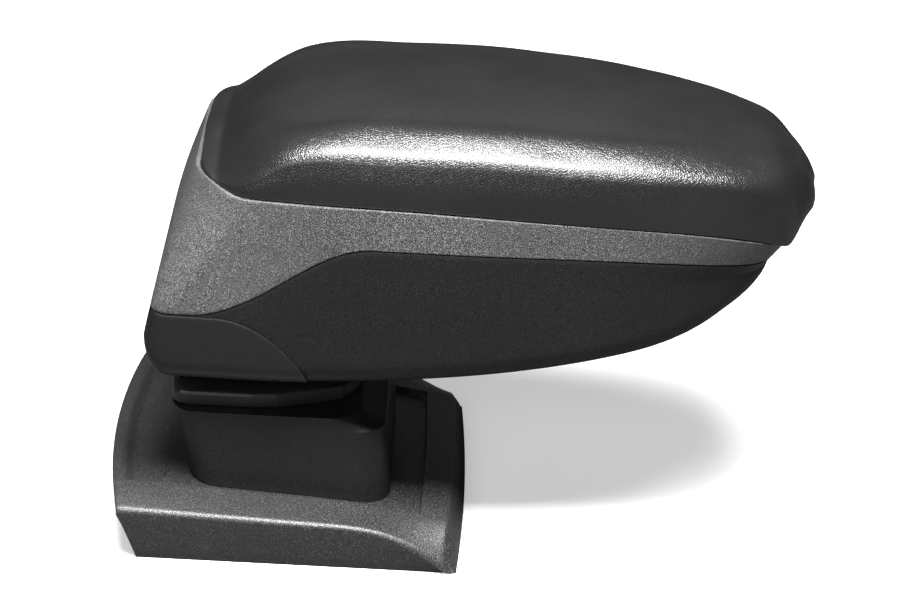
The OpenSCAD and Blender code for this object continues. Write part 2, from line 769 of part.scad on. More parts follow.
// Stations and outline of the side caps
cap_x0 = -arm_rear + 3;
cap_x1 = cap_len - arm_rear;
cap_gap = 0.3;
cap_low = 1.4;
function cap_top(s) = let (t = clamp((s + 44) / (cap_x1 + 44), 0, 1))
    mix(cap_low + 0.8, cap_h - 2.6, pow(1 - pow(t, 1.8), 0.7));
function belly_in(s, z) = let (
    low = belly(s),
    d = clamp((belly_r - z + low) / belly_r, 0, 1)
) belly_r * (1 - sqrt(1 - d * d));
function cap_stations() = [
    for (s = stations) if (s > cap_x0 && s < cap_x1 - 8) s,
    for (d = [6.6, 5, 3.6, 2.4, 1.2]) cap_x1 - d
];
cap_shares = [0, 0.03, 0.07, 0.12, 0.18, 0.25, 0.4, 0.55, 0.7, 0.85, 1];
function cap_grid(m, off) = [for (s = cap_stations()) [
    for (k = m > 0 ? cap_shares : [for (i = [len(cap_shares) - 1 : -1 : 0]) cap_shares[i]]) let (
        low = belly(s) + cap_low,
        z = mix(low, max(cap_top(s), low + 0.6), k)
    ) [real_x(s, z), m * (side(s, max(z, belly(s) + belly_r)) - belly_in(s, z) + off), z]
]];

module side_cap(m) {
    color(black) translate([0, 0, arm_z])
        skin(cap_grid(m, cap_gap + cap_t), cap_grid(m, cap_gap));
}

module side_cap_left() {
    side_cap(1);
}

module side_cap_right() {
    side_cap(-1);
}

// Plan of the storage bin at an inset, and the height of its sloping floor
bin_floor_0 = 16;
bin_floor_1 = 33;
bin_r = 16;
function bin_hw(x) = mix(arm_hw - 20, arm_hw - 34, clamp((x - bin_x0) / (bin_x1 - bin_x0), 0, 1));
function bin_ring(i, z0, z1, v) = [
    for (q = [0 : 3]) for (a = [0 : 22.5 : 90]) let (
        sx = (q == 0 || q == 3) ? 1 : -1,
        sy = q < 2 ? 1 : -1,
        b = q * 90 + a,
        r = bin_r - i,
        x = (sx > 0 ? bin_x1 - bin_r : bin_x0 + bin_r) + r * cos(b),
        y = sy * (bin_hw(x) - bin_r) + r * sin(b),
        zf = mix(bin_floor_0, bin_floor_1, (x - bin_x0) / (bin_x1 - bin_x0))
    ) [x, y, mix(zf + z0, z1, v)]
];

module storage_bin() {
    color(soft_black) translate([0, 0, arm_z]) difference() {
        union() {
            stack([
                bin_ring(4, 0, bin_top, 0), bin_ring(1.2, 1.2, bin_top, 0),
                bin_ring(0, 4, bin_top, 0), bin_ring(0, 0, bin_top, 1)
            ]);
            translate([0, 0, bin_top - rim_t]) linear_extrude(rim_t) polygon([
                [bin_x0 - 4, 8 - arm_hw], [bin_x1 - 10, 16 - arm_hw], [bin_x1 + 4, 30 - arm_hw],
                [bin_x1 + 4, arm_hw - 30], [bin_x1 - 10, arm_hw - 16], [bin_x0 - 4, arm_hw - 8]
            ]);
        }
        stack([
            bin_ring(4 + bin_wall, bin_wall, bin_top, 0),
            bin_ring(1.2 + bin_wall, bin_wall + 1.2, bin_top, 0),
            bin_ring(bin_wall, bin_wall + 4, bin_top, 0), bin_ring(bin_wall, 0, bin_top + 1, 1)
        ]);
        bin_spots() translate([0, 0, bin_top - 2 * rim_t])
            cylinder(h = 4 * rim_t, r = screw_d / 2 + screw_fit, $fn = 24);
    }
}

module bin_screws() {
    color(steel) bin_spots() translate([0, 0, arm_z + bin_top]) down_screw(rim_t + 8);
}

module bin_mat() {
    color(soft_black) translate([0, 0, arm_z]) stack([
        bin_ring(7, bin_wall, bin_top, 0), bin_ring(7, bin_wall + mat_t, bin_top, 0)
    ]);
}

catch_w = 24;

module catch_plate() {
    color(steel) translate([bin_x1 - 5, -catch_w / 2, arm_z + bin_top]) {
        cube([8, catch_w, 1.6]);
        translate([6, 0, 0]) cube([2, catch_w, 9]);
        translate([6, 0, 7]) cube([3, catch_w, 2]);
    }
}

/* Lid */

ring_steps = [0, 0.2, 0.42, 0.64, 0.82, 1];
// Positions round the lid: station along the arm and share of the half width there
lid_path = let (last = len(stations) - 1) concat(
    [for (k = [0, -0.33, -0.66]) [stations[0], k]],
    [for (s = stations) [s, -1]],
    [for (i = [last : -1 : 0]) [stations[i], 1]],
    [for (k = [0.66, 0.33]) [stations[0], k]]
);
function lid_ring(v, ix, iy) = [for (p = lid_path) let (
    s = p[0],
    z = mix(seam(s) + seam_gap / 2, deck(s), v),
    si = arm_mid + (s - arm_mid) * (1 - (s < arm_mid ? ix : iy) / arm_half)
) [real_x(si, z), p[1] * side(s, z) * (1 - iy / arm_hw), z]];

// Solid between two stacks of closed rings
module tube(outer, inner) {
    n = len(outer[0]);
    m = len(outer);
    k = n * m;
    polyhedron(
        points = concat(flat(outer), flat(inner)),
        faces = concat(
            [for (i = [0 : m - 2]) for (j = [0 : n - 1]) let (
                a = i * n + j,
                b = i * n + (j + 1) % n
            ) each [[a, a + n, b + n], [a, b + n, b]]],
            [for (i = [0 : m - 2]) for (j = [0 : n - 1]) let (
                a = k + i * n + j,
                b = k + i * n + (j + 1) % n
            ) each [[a, b + n, a + n], [a, b, b + n]]],
            [for (j = [0 : n - 1]) let (c = (j + 1) % n) each [[j, c, c + k], [j, c + k, j + k]]],
            [for (j = [0 : n - 1]) let (
                a = (m - 1) * n + j,
                b = (m - 1) * n + (j + 1) % n
            ) each [[a, b + k, b], [a, a + k, b + k]]]
        ),
        convexity = 10
    );
}

lug_x = [-24, 116];
lug_y = [arm_hw - 14, arm_hw - 16];
lug_in = arm_hw - 23;
lug_hl = 7;
lug_t = 6;
rib_x = 146;
function lug_z(x) = board_under(x + lug_hl) - run;

module lug_spots() {
    for (k = [0, 1]) for (s = [-1, 1]) translate([lug_x[k], s * lug_y[k], lug_z(lug_x[k])])
        children();
}

module lid_frame() {
    color(black) translate([0, 0, arm_z]) {
        difference() {
            union() {
                tube([for (v = ring_steps) lid_ring(v, 0, 0)],
                    [for (v = ring_steps) lid_ring(v, lip_w, shell_wall)]);
                for (m = [-1, 1]) scale([1, m, 1]) {
                    barrel(knuckle_a + knuckle_gap, knuckle_b - knuckle_gap, pin_d / 2 + run);
                    translate([-hinge_x - 2, knuckle_a + knuckle_gap, hinge_up + pin_d / 2 + 1])
                        cube([4.6, knuckle_b - knuckle_a - 2 * knuckle_gap, barrel_r + 2]);
                }
                for (k = [0, 1]) for (m = [-1, 1]) scale([1, m, 1])
                    translate([lug_x[k] - lug_hl, lug_in, lug_z(lug_x[k]) - lug_t])
                        cube([2 * lug_hl, side(lug_x[k], 90) - shell_wall / 2 - lug_in, lug_t]);
                for (m = [-1, 1]) scale([1, m, 1]) {
                    translate([rib_x, catch_w / 2 + 2, bin_top + rib_gap])
                        cube([3, rib_hw - catch_w / 2 - 2, rib_top - bin_top - rib_gap]);
                    translate([rib_x, rib_hw - 4, rib_top - 5])
                        cube([3, side(rib_x, rib_top) - shell_wall / 2 - rib_hw + 4, 5]);
                }
                translate([rib_x, -rib_hw, rib_top - 3]) cube([3, 2 * rib_hw, 3]);
            }
            lug_spots() translate([0, 0, -lug_t - 1])
                cylinder(h = lug_t + 2, r = screw_d / 2 + screw_fit, $fn = 24);
        }
    }
}
rib_gap = 5;
rib_top = board_under(rib_x + 3) - fit;
rib_hw = side(rib_x, bin_top) - shell_wall - 1.5;

module lid_hinge_pin() {
    color(steel) for (s = [-1, 1])
        translate([-hinge_x, s * (knuckle_in + knuckle_out) / 2, arm_z + hinge_up])
            rotate([90, 0, 0])
            cylinder(h = knuckle_out - knuckle_in, r = pin_d / 2, center = true, $fn = 32);
}

buffer_y = bin_hw(rib_x) + 2.6;

module lid_buffers() {
    color(soft_black) for (s = [-1, 1])
        translate([rib_x + 1.5, s * buffer_y, arm_z + bin_top])
        cylinder(h = rib_gap, r = 3, $fn = 32);
}

module lid_catch() {
    color(soft_black) translate([bin_x1 + 4, -catch_w / 2 + 4, arm_z]) {
        z1 = board_under(bin_x1 + 9) - run - fit;
        translate([2, 0, bin_top + 2]) cube([3, catch_w - 8, z1 - bin_top - 2]);
        translate([1.8, 0, bin_top + 2]) cube([3, catch_w - 8, 4]);
    }
}

// Closed cross-sections of the board under the cushion
function board_section(s) = let (
    si = arm_mid + (s - arm_mid) * (1 - (lip_w + fit) / arm_half),
    z = deck(si) - fit,
    hw = side(s, z) * (1 - shell_wall / arm_hw) - fit - nose_play * smooth((s - 110) / 60),
    x = real_x(si, z)
) [for (c = [[1, -1], [1, 0], [0.5, 0], [0, 0], [-0.5, 0], [-1, 0], [-1, -1], [-0.5, -1], [0, -1],
    [0.5, -1]]) [x, c[0] * hw, z + c[1] * board_t]];
function board_stations() = [
    for (s = stations) if (s < shell_nose - 2 * board_end) s, shell_nose - board_end
];
board_end = 6;
nose_play = 3;

module cushion_board() {
    color(soft_black) translate([0, 0, arm_z]) difference() {
        stack([for (s = board_stations()) board_section(s)]);
        lug_spots() translate([0, 0, -eps])
            cylinder(h = board_t - 1 + eps, r = screw_d / 2 + thread_fit, $fn = 24);
    }
}

module board_screws() {
    color(steel) translate([0, 0, arm_z]) lug_spots()
        translate([0, 0, -lug_t]) screw(lug_t + board_t - 2);
}

/* Cushion: closed cross-sections along the arm */

cushion_rear = 50.4;
cushion_corner = 33;
cushion_x = [
    -cushion_rear, -49.4, -47, -43.5, -39, -33, -25, -14, 0, 20, 45, 70, 95, 120, 142,
    each [for (a = [12 : 11 : 78]) mix(148, cushion_nose, sin(a))],
    mix(148, cushion_nose, 0.988), mix(148, cushion_nose, 0.9965)
];
function cushion_hw(x) = let (
    t = clamp((x - 60) / (cushion_nose - 60), 0, 1),
    r = cushion_corner,
    c = clamp((x + cushion_rear) / r, 0, 1),
    w = arm_hw - 0.6 - 3.5 * (1 - smooth((x + 50) / 70))
) (w - r * (1 - sqrt(1 - pow(1 - c, 2)))) * pow(1 - pow(t, 2.6), 0.31);
// Station of the shells whose top edge lies at a place along the arm, found by steps
function station_at(x, s, steps = 8) = steps == 0 ? min(s, shell_nose)
    : station_at(x, s + 0.8 * (x - real_x(s, deck(s))), steps - 1);
function cushion_low(x) = mix(deck(station_at(x, x)), cushion_tip, smooth((x - nose_top) / 12))
    + 3 * run;
// Underside of the board under the cushion
function board_under(x) = deck(station_at(x, x)) - fit - board_t;
nose_top = real_x(shell_nose, deck(shell_nose));
cushion_tip = 80;
function cushion_top(x) = deck_up + cushion_t - 3
    - 27 * pow(clamp((26 - x) / 76, 0, 1), 1.9)
    - 15.5 * pow(clamp((x - 70) / 140, 0, 1.2), 2.1)
    - 16 * pow(clamp((x - 205) / 36, 0, 1), 2.2);
function cushion_ring(x) = let (
    lo = cushion_low(x),
    hw = cushion_hw(x),
    top = max(cushion_top(x), lo + 6),
    r = min(shoulder_r + 8 * smooth((x - 195) / 40), (top - lo) * 0.6, hw * 0.6),
    rl = min(3, (top - lo) * 0.2),
    crown = cushion_crown + 5 * smooth((-10 - x) / 35),
    half = concat(
        [[hw - rl - 1, lo], [hw - 0.6, lo + rl * 0.6], [hw, min(lo + rl + 2, top - r - rl / 2)]],
        [for (a = [0 : 18 : 90]) [hw - r * (1 - cos(a)), top - r * (1 - sin(a))]],
        [for (k = [0.66, 0.33]) [(hw - r) * k, top + crown * (1 - k * k)]]
    )
) concat(
    [for (p = half) [x, p[0], p[1]]],
    [[x, 0, top + crown]],
    [for (k = [len(half) - 1 : -1 : 0]) [x, -half[k][0], half[k][1]]]
);

module lid_cushion() {
    color(soft_black) translate([0, 0, arm_z]) stack([for (x = cushion_x) cushion_ring(x)]);
}

base_housing();
seat_tray();
post();
post_bracket();
post_screws();
bracket_bolts();
tilt_foot();
foot_bolts();
stop_pad();
tilt_axle();
axle_nut();
lower_shell();
hinge_bracket();
bush_left();
bush_right();
friction_washers();
bracket_screws();
side_cap_left();
side_cap_right();
storage_bin();
bin_screws();
bin_mat();
catch_plate();
lid_frame();
lid_hinge_pin();
lid_buffers();
lid_catch();
cushion_board();
board_screws();
lid_cushion();
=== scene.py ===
"""Looks of a car centre armrest: padded lid, two-part shell, post and adapter.

Lengths inside the classes are millimetres; meshes are built in metres.
"""

import enum
import json
import logging
import math
from dataclasses import dataclass, field

import bmesh
import bpy
import numpy as np
from mathutils import Matrix, Vector

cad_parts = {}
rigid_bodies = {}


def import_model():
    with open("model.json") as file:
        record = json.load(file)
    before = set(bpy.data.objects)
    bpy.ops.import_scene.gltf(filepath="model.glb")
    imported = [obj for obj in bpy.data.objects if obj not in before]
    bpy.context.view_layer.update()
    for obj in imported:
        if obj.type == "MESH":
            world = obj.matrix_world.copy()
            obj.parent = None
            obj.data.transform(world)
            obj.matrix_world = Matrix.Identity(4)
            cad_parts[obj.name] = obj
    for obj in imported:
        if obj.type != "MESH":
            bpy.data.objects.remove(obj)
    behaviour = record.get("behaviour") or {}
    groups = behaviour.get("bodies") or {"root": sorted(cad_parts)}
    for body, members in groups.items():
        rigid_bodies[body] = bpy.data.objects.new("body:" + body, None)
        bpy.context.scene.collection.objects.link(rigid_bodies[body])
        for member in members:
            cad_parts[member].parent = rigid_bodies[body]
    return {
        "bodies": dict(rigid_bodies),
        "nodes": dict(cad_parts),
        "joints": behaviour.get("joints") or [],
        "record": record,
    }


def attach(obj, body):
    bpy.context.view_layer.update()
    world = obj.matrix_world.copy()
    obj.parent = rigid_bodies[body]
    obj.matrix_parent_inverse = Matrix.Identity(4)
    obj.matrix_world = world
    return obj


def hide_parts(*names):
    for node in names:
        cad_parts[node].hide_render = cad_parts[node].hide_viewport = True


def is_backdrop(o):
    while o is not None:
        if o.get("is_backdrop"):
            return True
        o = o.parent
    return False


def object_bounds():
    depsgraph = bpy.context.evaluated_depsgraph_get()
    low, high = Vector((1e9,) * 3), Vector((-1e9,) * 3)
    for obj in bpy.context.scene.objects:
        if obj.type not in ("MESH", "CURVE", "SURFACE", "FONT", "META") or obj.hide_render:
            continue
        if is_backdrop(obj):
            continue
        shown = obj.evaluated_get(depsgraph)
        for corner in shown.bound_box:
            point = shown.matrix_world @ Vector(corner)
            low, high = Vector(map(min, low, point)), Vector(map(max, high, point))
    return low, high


LOG = logging.getLogger("armrest")
MM = 0.001
Array = np.ndarray


class Body(enum.Enum):
    """The three bodies that the pieces ride on."""

    BASE = "base"
    ARM = "arm"
    LID = "lid"


class Grain(enum.Enum):
    """Kinds of moulded or stamped surface grain."""

    SPARK = "spark"
    LEATHER = "leather"
    PLAIN = "plain"


# ---- small shared formulas


def clamp(value: Array | float, low: float, high: float) -> Array:
    """Value held between low and high."""
    return np.clip(np.asarray(value, dtype=float), low, high)


def smooth(t: Array | float) -> Array:
    """Smoothstep: three t squared less two t cubed, held to 0..1."""
    u = clamp(t, 0.0, 1.0)
    return u * u * (3.0 - 2.0 * u)


def mix(a: Array | float, b: Array | float, t: Array | float) -> Array:
    """Linear blend from a at t 0 to b at t 1."""
    return np.asarray(a) + (np.asarray(b) - np.asarray(a)) * t


def circle_inset(c: Array | float) -> Array:
    """Inset of a quarter circle of radius 1: one less the root of 1 - (1 - c)^2."""
    u = 1.0 - clamp(c, 0.0, 1.0)
    return 1.0 - np.sqrt(np.maximum(1.0 - u * u, 0.0))


# ---- finishes


@dataclass(frozen=True)
class Finish:
    """One finish: colour, gloss and grain of a material.

    Args:
        name: material name.
        colour: base colour, linear RGB.
        roughness: mean roughness.
        metallic: 0 or 1.
        grain: kind of grain.
        grain_mm: size of one grain, in millimetres.
        depth_mm: depth of the grain, in millimetres.
        glint_and_tone: how much lighter the grain's tops are, linear; on spark grain this
            lightening is painted glints, on leather it is broad random tone.
        coat: strength of a thin clear coat.
        specular: specular level.
    """

    name: str
    colour: tuple[float, float, float]
    roughness: float
    metallic: float = 0.0
    grain: Grain = Grain.PLAIN
    grain_mm: float = 1.0
    depth_mm: float = 0.02
    glint_and_tone: float = 0.0
    coat: float = 0.0
    specular: float = 0.5

    def material(self) -> bpy.types.Material:
        """Material of this finish, made once and then reused.

        Returns:
            The Blender material.
        """
        made = bpy.data.materials.get(self.name)
        if made:
            return made
        mat = bpy.data.materials.new(self.name)
        mat.use_nodes = True
        nodes, links = mat.node_tree.nodes, mat.node_tree.links
        shader = nodes["Principled BSDF"]
        shader.inputs["Roughness"].default_value = self.roughness
        shader.inputs["Metallic"].default_value = self.metallic
        shader.inputs["Specular IOR Level"].default_value = self.specular
        shader.inputs["Coat Weight"].default_value = self.coat
        shader.inputs["Coat Roughness"].default_value = 0.25
        shader.inputs["Base Color"].default_value = (*self.colour, 1.0)
        if self.grain is Grain.PLAIN:
            return mat
        place = nodes.new("ShaderNodeTexCoord")
        group = nodes.new("ShaderNodeGroup")
        group.node_tree = leather_grain() if self.grain is Grain.LEATHER else spark_grain()
        group.inputs["Cells per metre"].default_value = 1000.0 / self.grain_mm
        group.inputs["Depth"].default_value = self.depth_mm * MM
        group.inputs["Base"].default_value = (*self.colour, 1.0)
        # Lighter colour for the grain: painted glints on spark grain, broad random tone on
        # leather.
        group.inputs["Glint_and_tone"].default_value = (*[c + self.glint_and_tone for c in self.colour], 1.0)
        group.inputs["Gloss"].default_value = self.roughness
        links.new(place.outputs["Object"], group.inputs["Place"])
        links.new(group.outputs["Colour"], shader.inputs["Base Color"])
        links.new(group.outputs["Roughness"], shader.inputs["Roughness"])
        links.new(group.outputs["Normal"], shader.inputs["Normal"])
        return mat


def grain_group(name: str) -> tuple[bpy.types.NodeTree, dict[str, bpy.types.Node]]:
    """New node group with the sockets that every grain shares.

    Args:
        name: name of the group.

    Returns:
        The node tree, and its input and output nodes under "in" and "out".
    """
    tree = bpy.data.node_groups.new(name, "ShaderNodeTree")
    face = tree.interface
    for label, kind in (
        ("Place", "NodeSocketVector"),
        ("Cells per metre", "NodeSocketFloat"),
        ("Depth", "NodeSocketFloat"),
        ("Base", "NodeSocketColor"),
        ("Glint_and_tone", "NodeSocketColor"),
        ("Gloss", "NodeSocketFloat"),
    ):
        face.new_socket(label, in_out="INPUT", socket_type=kind)
    for label, kind in (
        ("Colour", "NodeSocketColor"),
        ("Roughness", "NodeSocketFloat"),
        ("Normal", "NodeSocketVector"),
    ):
        face.new_socket(label, in_out="OUTPUT", socket_type=kind)
    ends = {"in": tree.nodes.new("NodeGroupInput"), "out": tree.nodes.new("NodeGroupOutput")}
    return tree, ends


def map_range(
    tree: bpy.types.NodeTree,
    source: bpy.types.NodeSocket,
    span: tuple[float, float],
    target: tuple[float, float],
) -> bpy.types.NodeSocket:
    """Output of a clamped Map Range node.

    Args:
        tree: node tree to add to.
        source: value that is mapped.
        span: lowest and highest source value.
        target: values at the two ends.

    Returns:
        The mapped value's socket.
    """
    node = tree.nodes.new("ShaderNodeMapRange")
    for index, value in zip((1, 2, 3, 4), (*span, *target)):
        node.inputs[index].default_value = value
    tree.links.new(source, node.inputs[0])
    return node.outputs[0]


def spark_grain() -> bpy.types.NodeTree:
    """Grain of moulded plastic: small rounded pits with painted glints, a lighter colour, on their
    edges.

    Returns:
        The shared node group.
    """
    made = bpy.data.node_groups.get("spark_grain")
    if made:
        return made
    tree, ends = grain_group("spark_grain")
    nodes, links = tree.nodes, tree.links
    fine = nodes.new("ShaderNodeTexNoise")
    fine.inputs["Detail"].default_value = 3.0
    fine.inputs["Roughness"].default_value = 0.65
    cells = nodes.new("ShaderNodeTexVoronoi")
    cells.inputs["Randomness"].default_value = 1.0
    broad = nodes.new("ShaderNodeTexNoise")
    broad.inputs["Scale"].default_value = 14.0
    broad.inputs["Detail"].default_value = 3.0
    for node in (fine, cells, broad):
        links.new(ends["in"].outputs["Place"], node.inputs["Vector"])
    for node in (fine, cells):
        links.new(ends["in"].outputs["Cells per metre"], node.inputs["Scale"])
    # Painted glints: where the fine noise peaks, under the broad patches, the grain takes the
    # lighter colour and a lower roughness.
    tops = map_range(tree, fine.outputs["Fac"], (0.50, 0.66), (0.0, 1.0))
    patch = map_range(tree, broad.outputs["Fac"], (0.3, 0.7), (0.55, 1.0))
    both = nodes.new("ShaderNodeMath")
    both.operation = "MULTIPLY"
    links.new(tops, both.inputs[0])
    links.new(patch, both.inputs[1])
    tint = nodes.new("ShaderNodeMix")
    tint.data_type = "RGBA"
    links.new(both.outputs[0], tint.inputs["Factor"])
    links.new(ends["in"].outputs["Base"], tint.inputs[6])
    links.new(ends["in"].outputs["Glint_and_tone"], tint.inputs[7])
    links.new(tint.outputs[2], ends["out"].inputs["Colour"])
    rough = nodes.new("ShaderNodeMath")
    rough.operation = "MULTIPLY_ADD"
    rough.inputs[1].default_value = -0.16
    links.new(both.outputs[0], rough.inputs[0])
    links.new(ends["in"].outputs["Gloss"], rough.inputs[2])
    links.new(rough.outputs[0], ends["out"].inputs["Roughness"])
    height = nodes.new("ShaderNodeMath")
    height.operation = "MULTIPLY_ADD"
    height.inputs[1].default_value = 0.6
    links.new(cells.outputs["Distance"], height.inputs[0])
    links.new(fine.outputs["Fac"], height.inputs[2])
    bump = nodes.new("ShaderNodeBump")
    bump.inputs["Strength"].default_value = 1.0
    links.new(ends["in"].outputs["Depth"], bump.inputs["Distance"])
    links.new(height.outputs[0], bump.inputs["Height"])
    links.new(bump.outputs["Normal"], ends["out"].inputs["Normal"])
    return tree


def leather_grain() -> bpy.types.NodeTree:
    """Grain of leather: pebbles parted by fine creases, on slow broad unevenness.

    Returns:
        The shared node group.
    """
    made = bpy.data.node_groups.get("leather_grain")
    if made:
        return made
    tree, ends = grain_group("leather_grain")
    nodes, links = tree.nodes, tree.links
    warp = nodes.new("ShaderNodeTexNoise")
    warp.inputs["Scale"].default_value = 220.0
    links.new(ends["in"].outputs["Place"], warp.inputs["Vector"])
    shift = nodes.new("ShaderNodeVectorMath")
    shift.operation = "MULTIPLY_ADD"
    shift.inputs[1].default_value = (0.0012, 0.0012, 0.0012)
    links.new(warp.outputs["Color"], shift.inputs[0])
    links.new(ends["in"].outputs["Place"], shift.inputs[2])
    cells = nodes.new("ShaderNodeTexVoronoi")
    cells.feature = "DISTANCE_TO_EDGE"
    links.new(shift.outputs[0], cells.inputs["Vector"])
    links.new(ends["in"].outputs["Cells per metre"], cells.inputs["Scale"])
    pebble = map_range(tree, cells.outputs["Distance"], (0.0, 0.22), (0.0, 1.0))
    broad = nodes.new("ShaderNodeTexNoise")
    broad.inputs["Scale"].default_value = 18.0
    broad.inputs["Detail"].default_value = 4.0
    links.new(ends["in"].outputs["Place"], broad.inputs["Vector"])
    patch = map_range(tree, broad.outputs["Fac"], (0.35, 0.7), (0.0, 1.0))
    tint = nodes.new("ShaderNodeMix")
    tint.data_type = "RGBA"
    links.new(patch, tint.inputs["Factor"])
    links.new(ends["in"].outputs["Base"], tint.inputs[6])
    links.new(ends["in"].outputs["Glint_and_tone"], tint.inputs[7])
    links.new(tint.outputs[2], ends["out"].inputs["Colour"])
    rough = nodes.new("ShaderNodeMath")
    rough.operation = "MULTIPLY_ADD"
    rough.inputs[1].default_value = -0.1
    links.new(patch, rough.inputs[0])
    links.new(ends["in"].outputs["Gloss"], rough.inputs[2])
    links.new(rough.outputs[0], ends["out"].inputs["Roughness"])
    bump = nodes.new("ShaderNodeBump")
    bump.inputs["Strength"].default_value = 1.0
    links.new(ends["in"].outputs["Depth"], bump.inputs["Distance"])
    links.new(pebble, bump.inputs["Height"])
    links.new(bump.outputs["Normal"], ends["out"].inputs["Normal"])
    return tree


# Each plastic's fleck paints glints onto its grain tops as a lighter colour; the hood's painted
# glints are the strongest.
HOOD_PLASTIC = Finish(
    "hood_plastic", (0.034, 0.034, 0.0345), 0.45, grain=Grain.SPARK, grain_mm=0.42,
    depth_mm=0.20, glint_and_tone=0.38, specular=0.8,
)
SHELL_PLASTIC = Finish(
    "shell_plastic", (0.0062, 0.0062, 0.0065), 0.50, grain=Grain.SPARK, grain_mm=0.45,
    depth_mm=0.07, glint_and_tone=0.03, specular=0.35,
)
CAP_PLASTIC = Finish(
    "cap_plastic", (0.0085, 0.0085, 0.009), 0.46, grain=Grain.SPARK, grain_mm=0.45,
    depth_mm=0.03, glint_and_tone=0.015, specular=0.45,
)
BASE_PLASTIC = Finish(
    "base_plastic", (0.013, 0.013, 0.0135), 0.42, grain=Grain.SPARK, grain_mm=0.7,
    depth_mm=0.20, glint_and_tone=0.10, specular=0.9,
)
POST_PLASTIC = Finish(
    "post_plastic", (0.0085, 0.0085, 0.009), 0.45, grain=Grain.SPARK, grain_mm=0.6,
    depth_mm=0.05, glint_and_tone=0.02, specular=0.45,
)
LEATHER = Finish(
    "seat_leather", (0.0042, 0.0042, 0.0045), 0.38, grain=Grain.LEATHER, grain_mm=1.1,
    depth_mm=0.07, glint_and_tone=0.008, coat=0.15, specular=0.8,
)
LINER = Finish("liner_plastic", (0.010, 0.010, 0.010), 0.6)
RUBBER = Finish("black_rubber", (0.008, 0.008, 0.008), 0.75)
CAST = Finish("painted_casting", (0.022, 0.022, 0.0225), 0.40)
STEEL = Finish("zinc_steel", (0.42, 0.43, 0.44), 0.34, metallic=1.0)
BOARD = Finish("pressed_board", (0.012, 0.011, 0.010), 0.8)


# ---- mesh helpers


def grid_faces(rows: int, cols: int, ring: bool = False, start: int = 0) -> Array:
    """Quads of a grid whose rows follow one another.

    Args:
        rows: number of rows.
        cols: number of points in a row.
        ring: whether each row closes on itself.
        start: index of the first point.

    Returns:
        Array of quads, four indices each.
    """
    i = np.arange(rows - 1)[:, None]
    j = np.arange(cols if ring else cols - 1)[None, :]
    k = (j + 1) % cols
    a, b = start + i * cols + j, start + i * cols + k
    return np.stack([a, a + cols, b + cols, b], -1).reshape(-1, 4)


def border(rows: int, cols: int) -> Array:
    """Indices round the border of a grid, first row first.

    Args:
        rows: number of rows.
        cols: number of points in a row.

    Returns:
        Indices into the grid's points.
    """
    return np.concatenate([
        np.arange(cols),
        np.arange(1, rows) * cols + cols - 1,
        (rows - 1) * cols + np.arange(cols - 2, -1, -1),
        np.arange(rows - 2, 0, -1) * cols,
    ])


def new_object(name: str, points: Array, faces: list | Array, finish: Finish) -> bpy.types.Object:
    """Object from points in millimetres.

    Args:
        name: name of the object.
        points: N by 3 array, in millimetres.
        faces: faces as lists of indices.
        finish: finish of the whole object.

    Returns:
        The linked object, its normals made consistent.
    """
    mesh = bpy.data.meshes.new(name)
    mesh.from_pydata((np.asarray(points) * MM).tolist(), [], [list(map(int, f)) for f in faces])
    mesh.materials.append(finish.material())
    work = bmesh.new()
    work.from_mesh(mesh)
    bmesh.ops.remove_doubles(work, verts=work.verts, dist=1e-6)
    bmesh.ops.recalc_face_normals(work, faces=work.faces)
    work.to_mesh(mesh)
    work.free()
    obj = bpy.data.objects.new(name, mesh)
    bpy.context.scene.collection.objects.link(obj)
    return obj


def skin(name: str, outer: Array, inner: Array, finish: Finish) -> bpy.types.Object:
    """Closed solid between two grids with the same rows and columns.

    Args:
        name: name of the object.
        outer: rows by columns by 3 array of the outside.
        inner: the same for the inside.
        finish: finish of the whole object.

    Returns:
        The object.
    """
    rows, cols = outer.shape[:2]
    count = rows * cols
    edge = border(rows, cols)
    nxt = np.roll(edge, -1)
    rim = np.stack([edge, nxt, nxt + count, edge + count], -1)
    faces = np.concatenate([
        grid_faces(rows, cols), grid_faces(rows, cols, start=count)[:, ::-1], rim
    ])
    return new_object(
        name, np.concatenate([outer.reshape(-1, 3), inner.reshape(-1, 3)]), faces, finish
    )


def tube(name: str, outer: Array, inner: Array, finish: Finish) -> bpy.types.Object:
    """Closed solid between two stacks of closed rings.

    Args:
        name: name of the object.
        outer: rings by points by 3 array of the outside.
        inner: the same for the inside.
        finish: finish of the whole object.

    Returns:
        The object.
    """
    rows, cols = outer.shape[:2]
    count = rows * cols
    j = np.arange(cols)
    k = (j + 1) % cols
    top = (rows - 1) * cols
    faces = np.concatenate([
        grid_faces(rows, cols, ring=True),
        grid_faces(rows, cols, ring=True, start=count)[:, ::-1],
        np.stack([j, k, k + count, j + count], -1),
        np.stack([top + j, top + j + count, top + k + count, top + k], -1),
    ])
    return new_object(
        name, np.concatenate([outer.reshape(-1, 3), inner.reshape(-1, 3)]), faces, finish
    )


def loft(name: str, rings: Array, finish: Finish) -> bpy.types.Object:
    """Closed solid through rings, with flat ends.

    Args:
        name: name of the object.
        rings: rings by points by 3 array.
        finish: finish of the whole object.

    Returns:
        The object.
    """
    rows, cols = rings.shape[:2]
    faces = grid_faces(rows, cols, ring=True).tolist()
    faces.append(list(range(cols))[::-1])
    faces.append(list(range((rows - 1) * cols, rows * cols)))
    return new_object(name, rings.reshape(-1, 3), faces, finish)


def box_tool(low: tuple, high: tuple) -> bpy.types.Object:
    """Box for use as a cutter or a lug.

    Args:
        low: its lowest corner, in millimetres.
        high: its highest corner.

    Returns:
        The box.
    """
    (x0, y0, z0), (x1, y1, z1) = low, high
    points = [(x, y, z) for x in (x0, x1) for y in (y0, y1) for z in (z0, z1)]
    faces = [(0, 1, 3, 2), (4, 6, 7, 5), (0, 4, 5, 1), (2, 3, 7, 6), (0, 2, 6, 4), (1, 5, 7, 3)]
    return new_object("box_tool", np.array(points), faces, LINER)


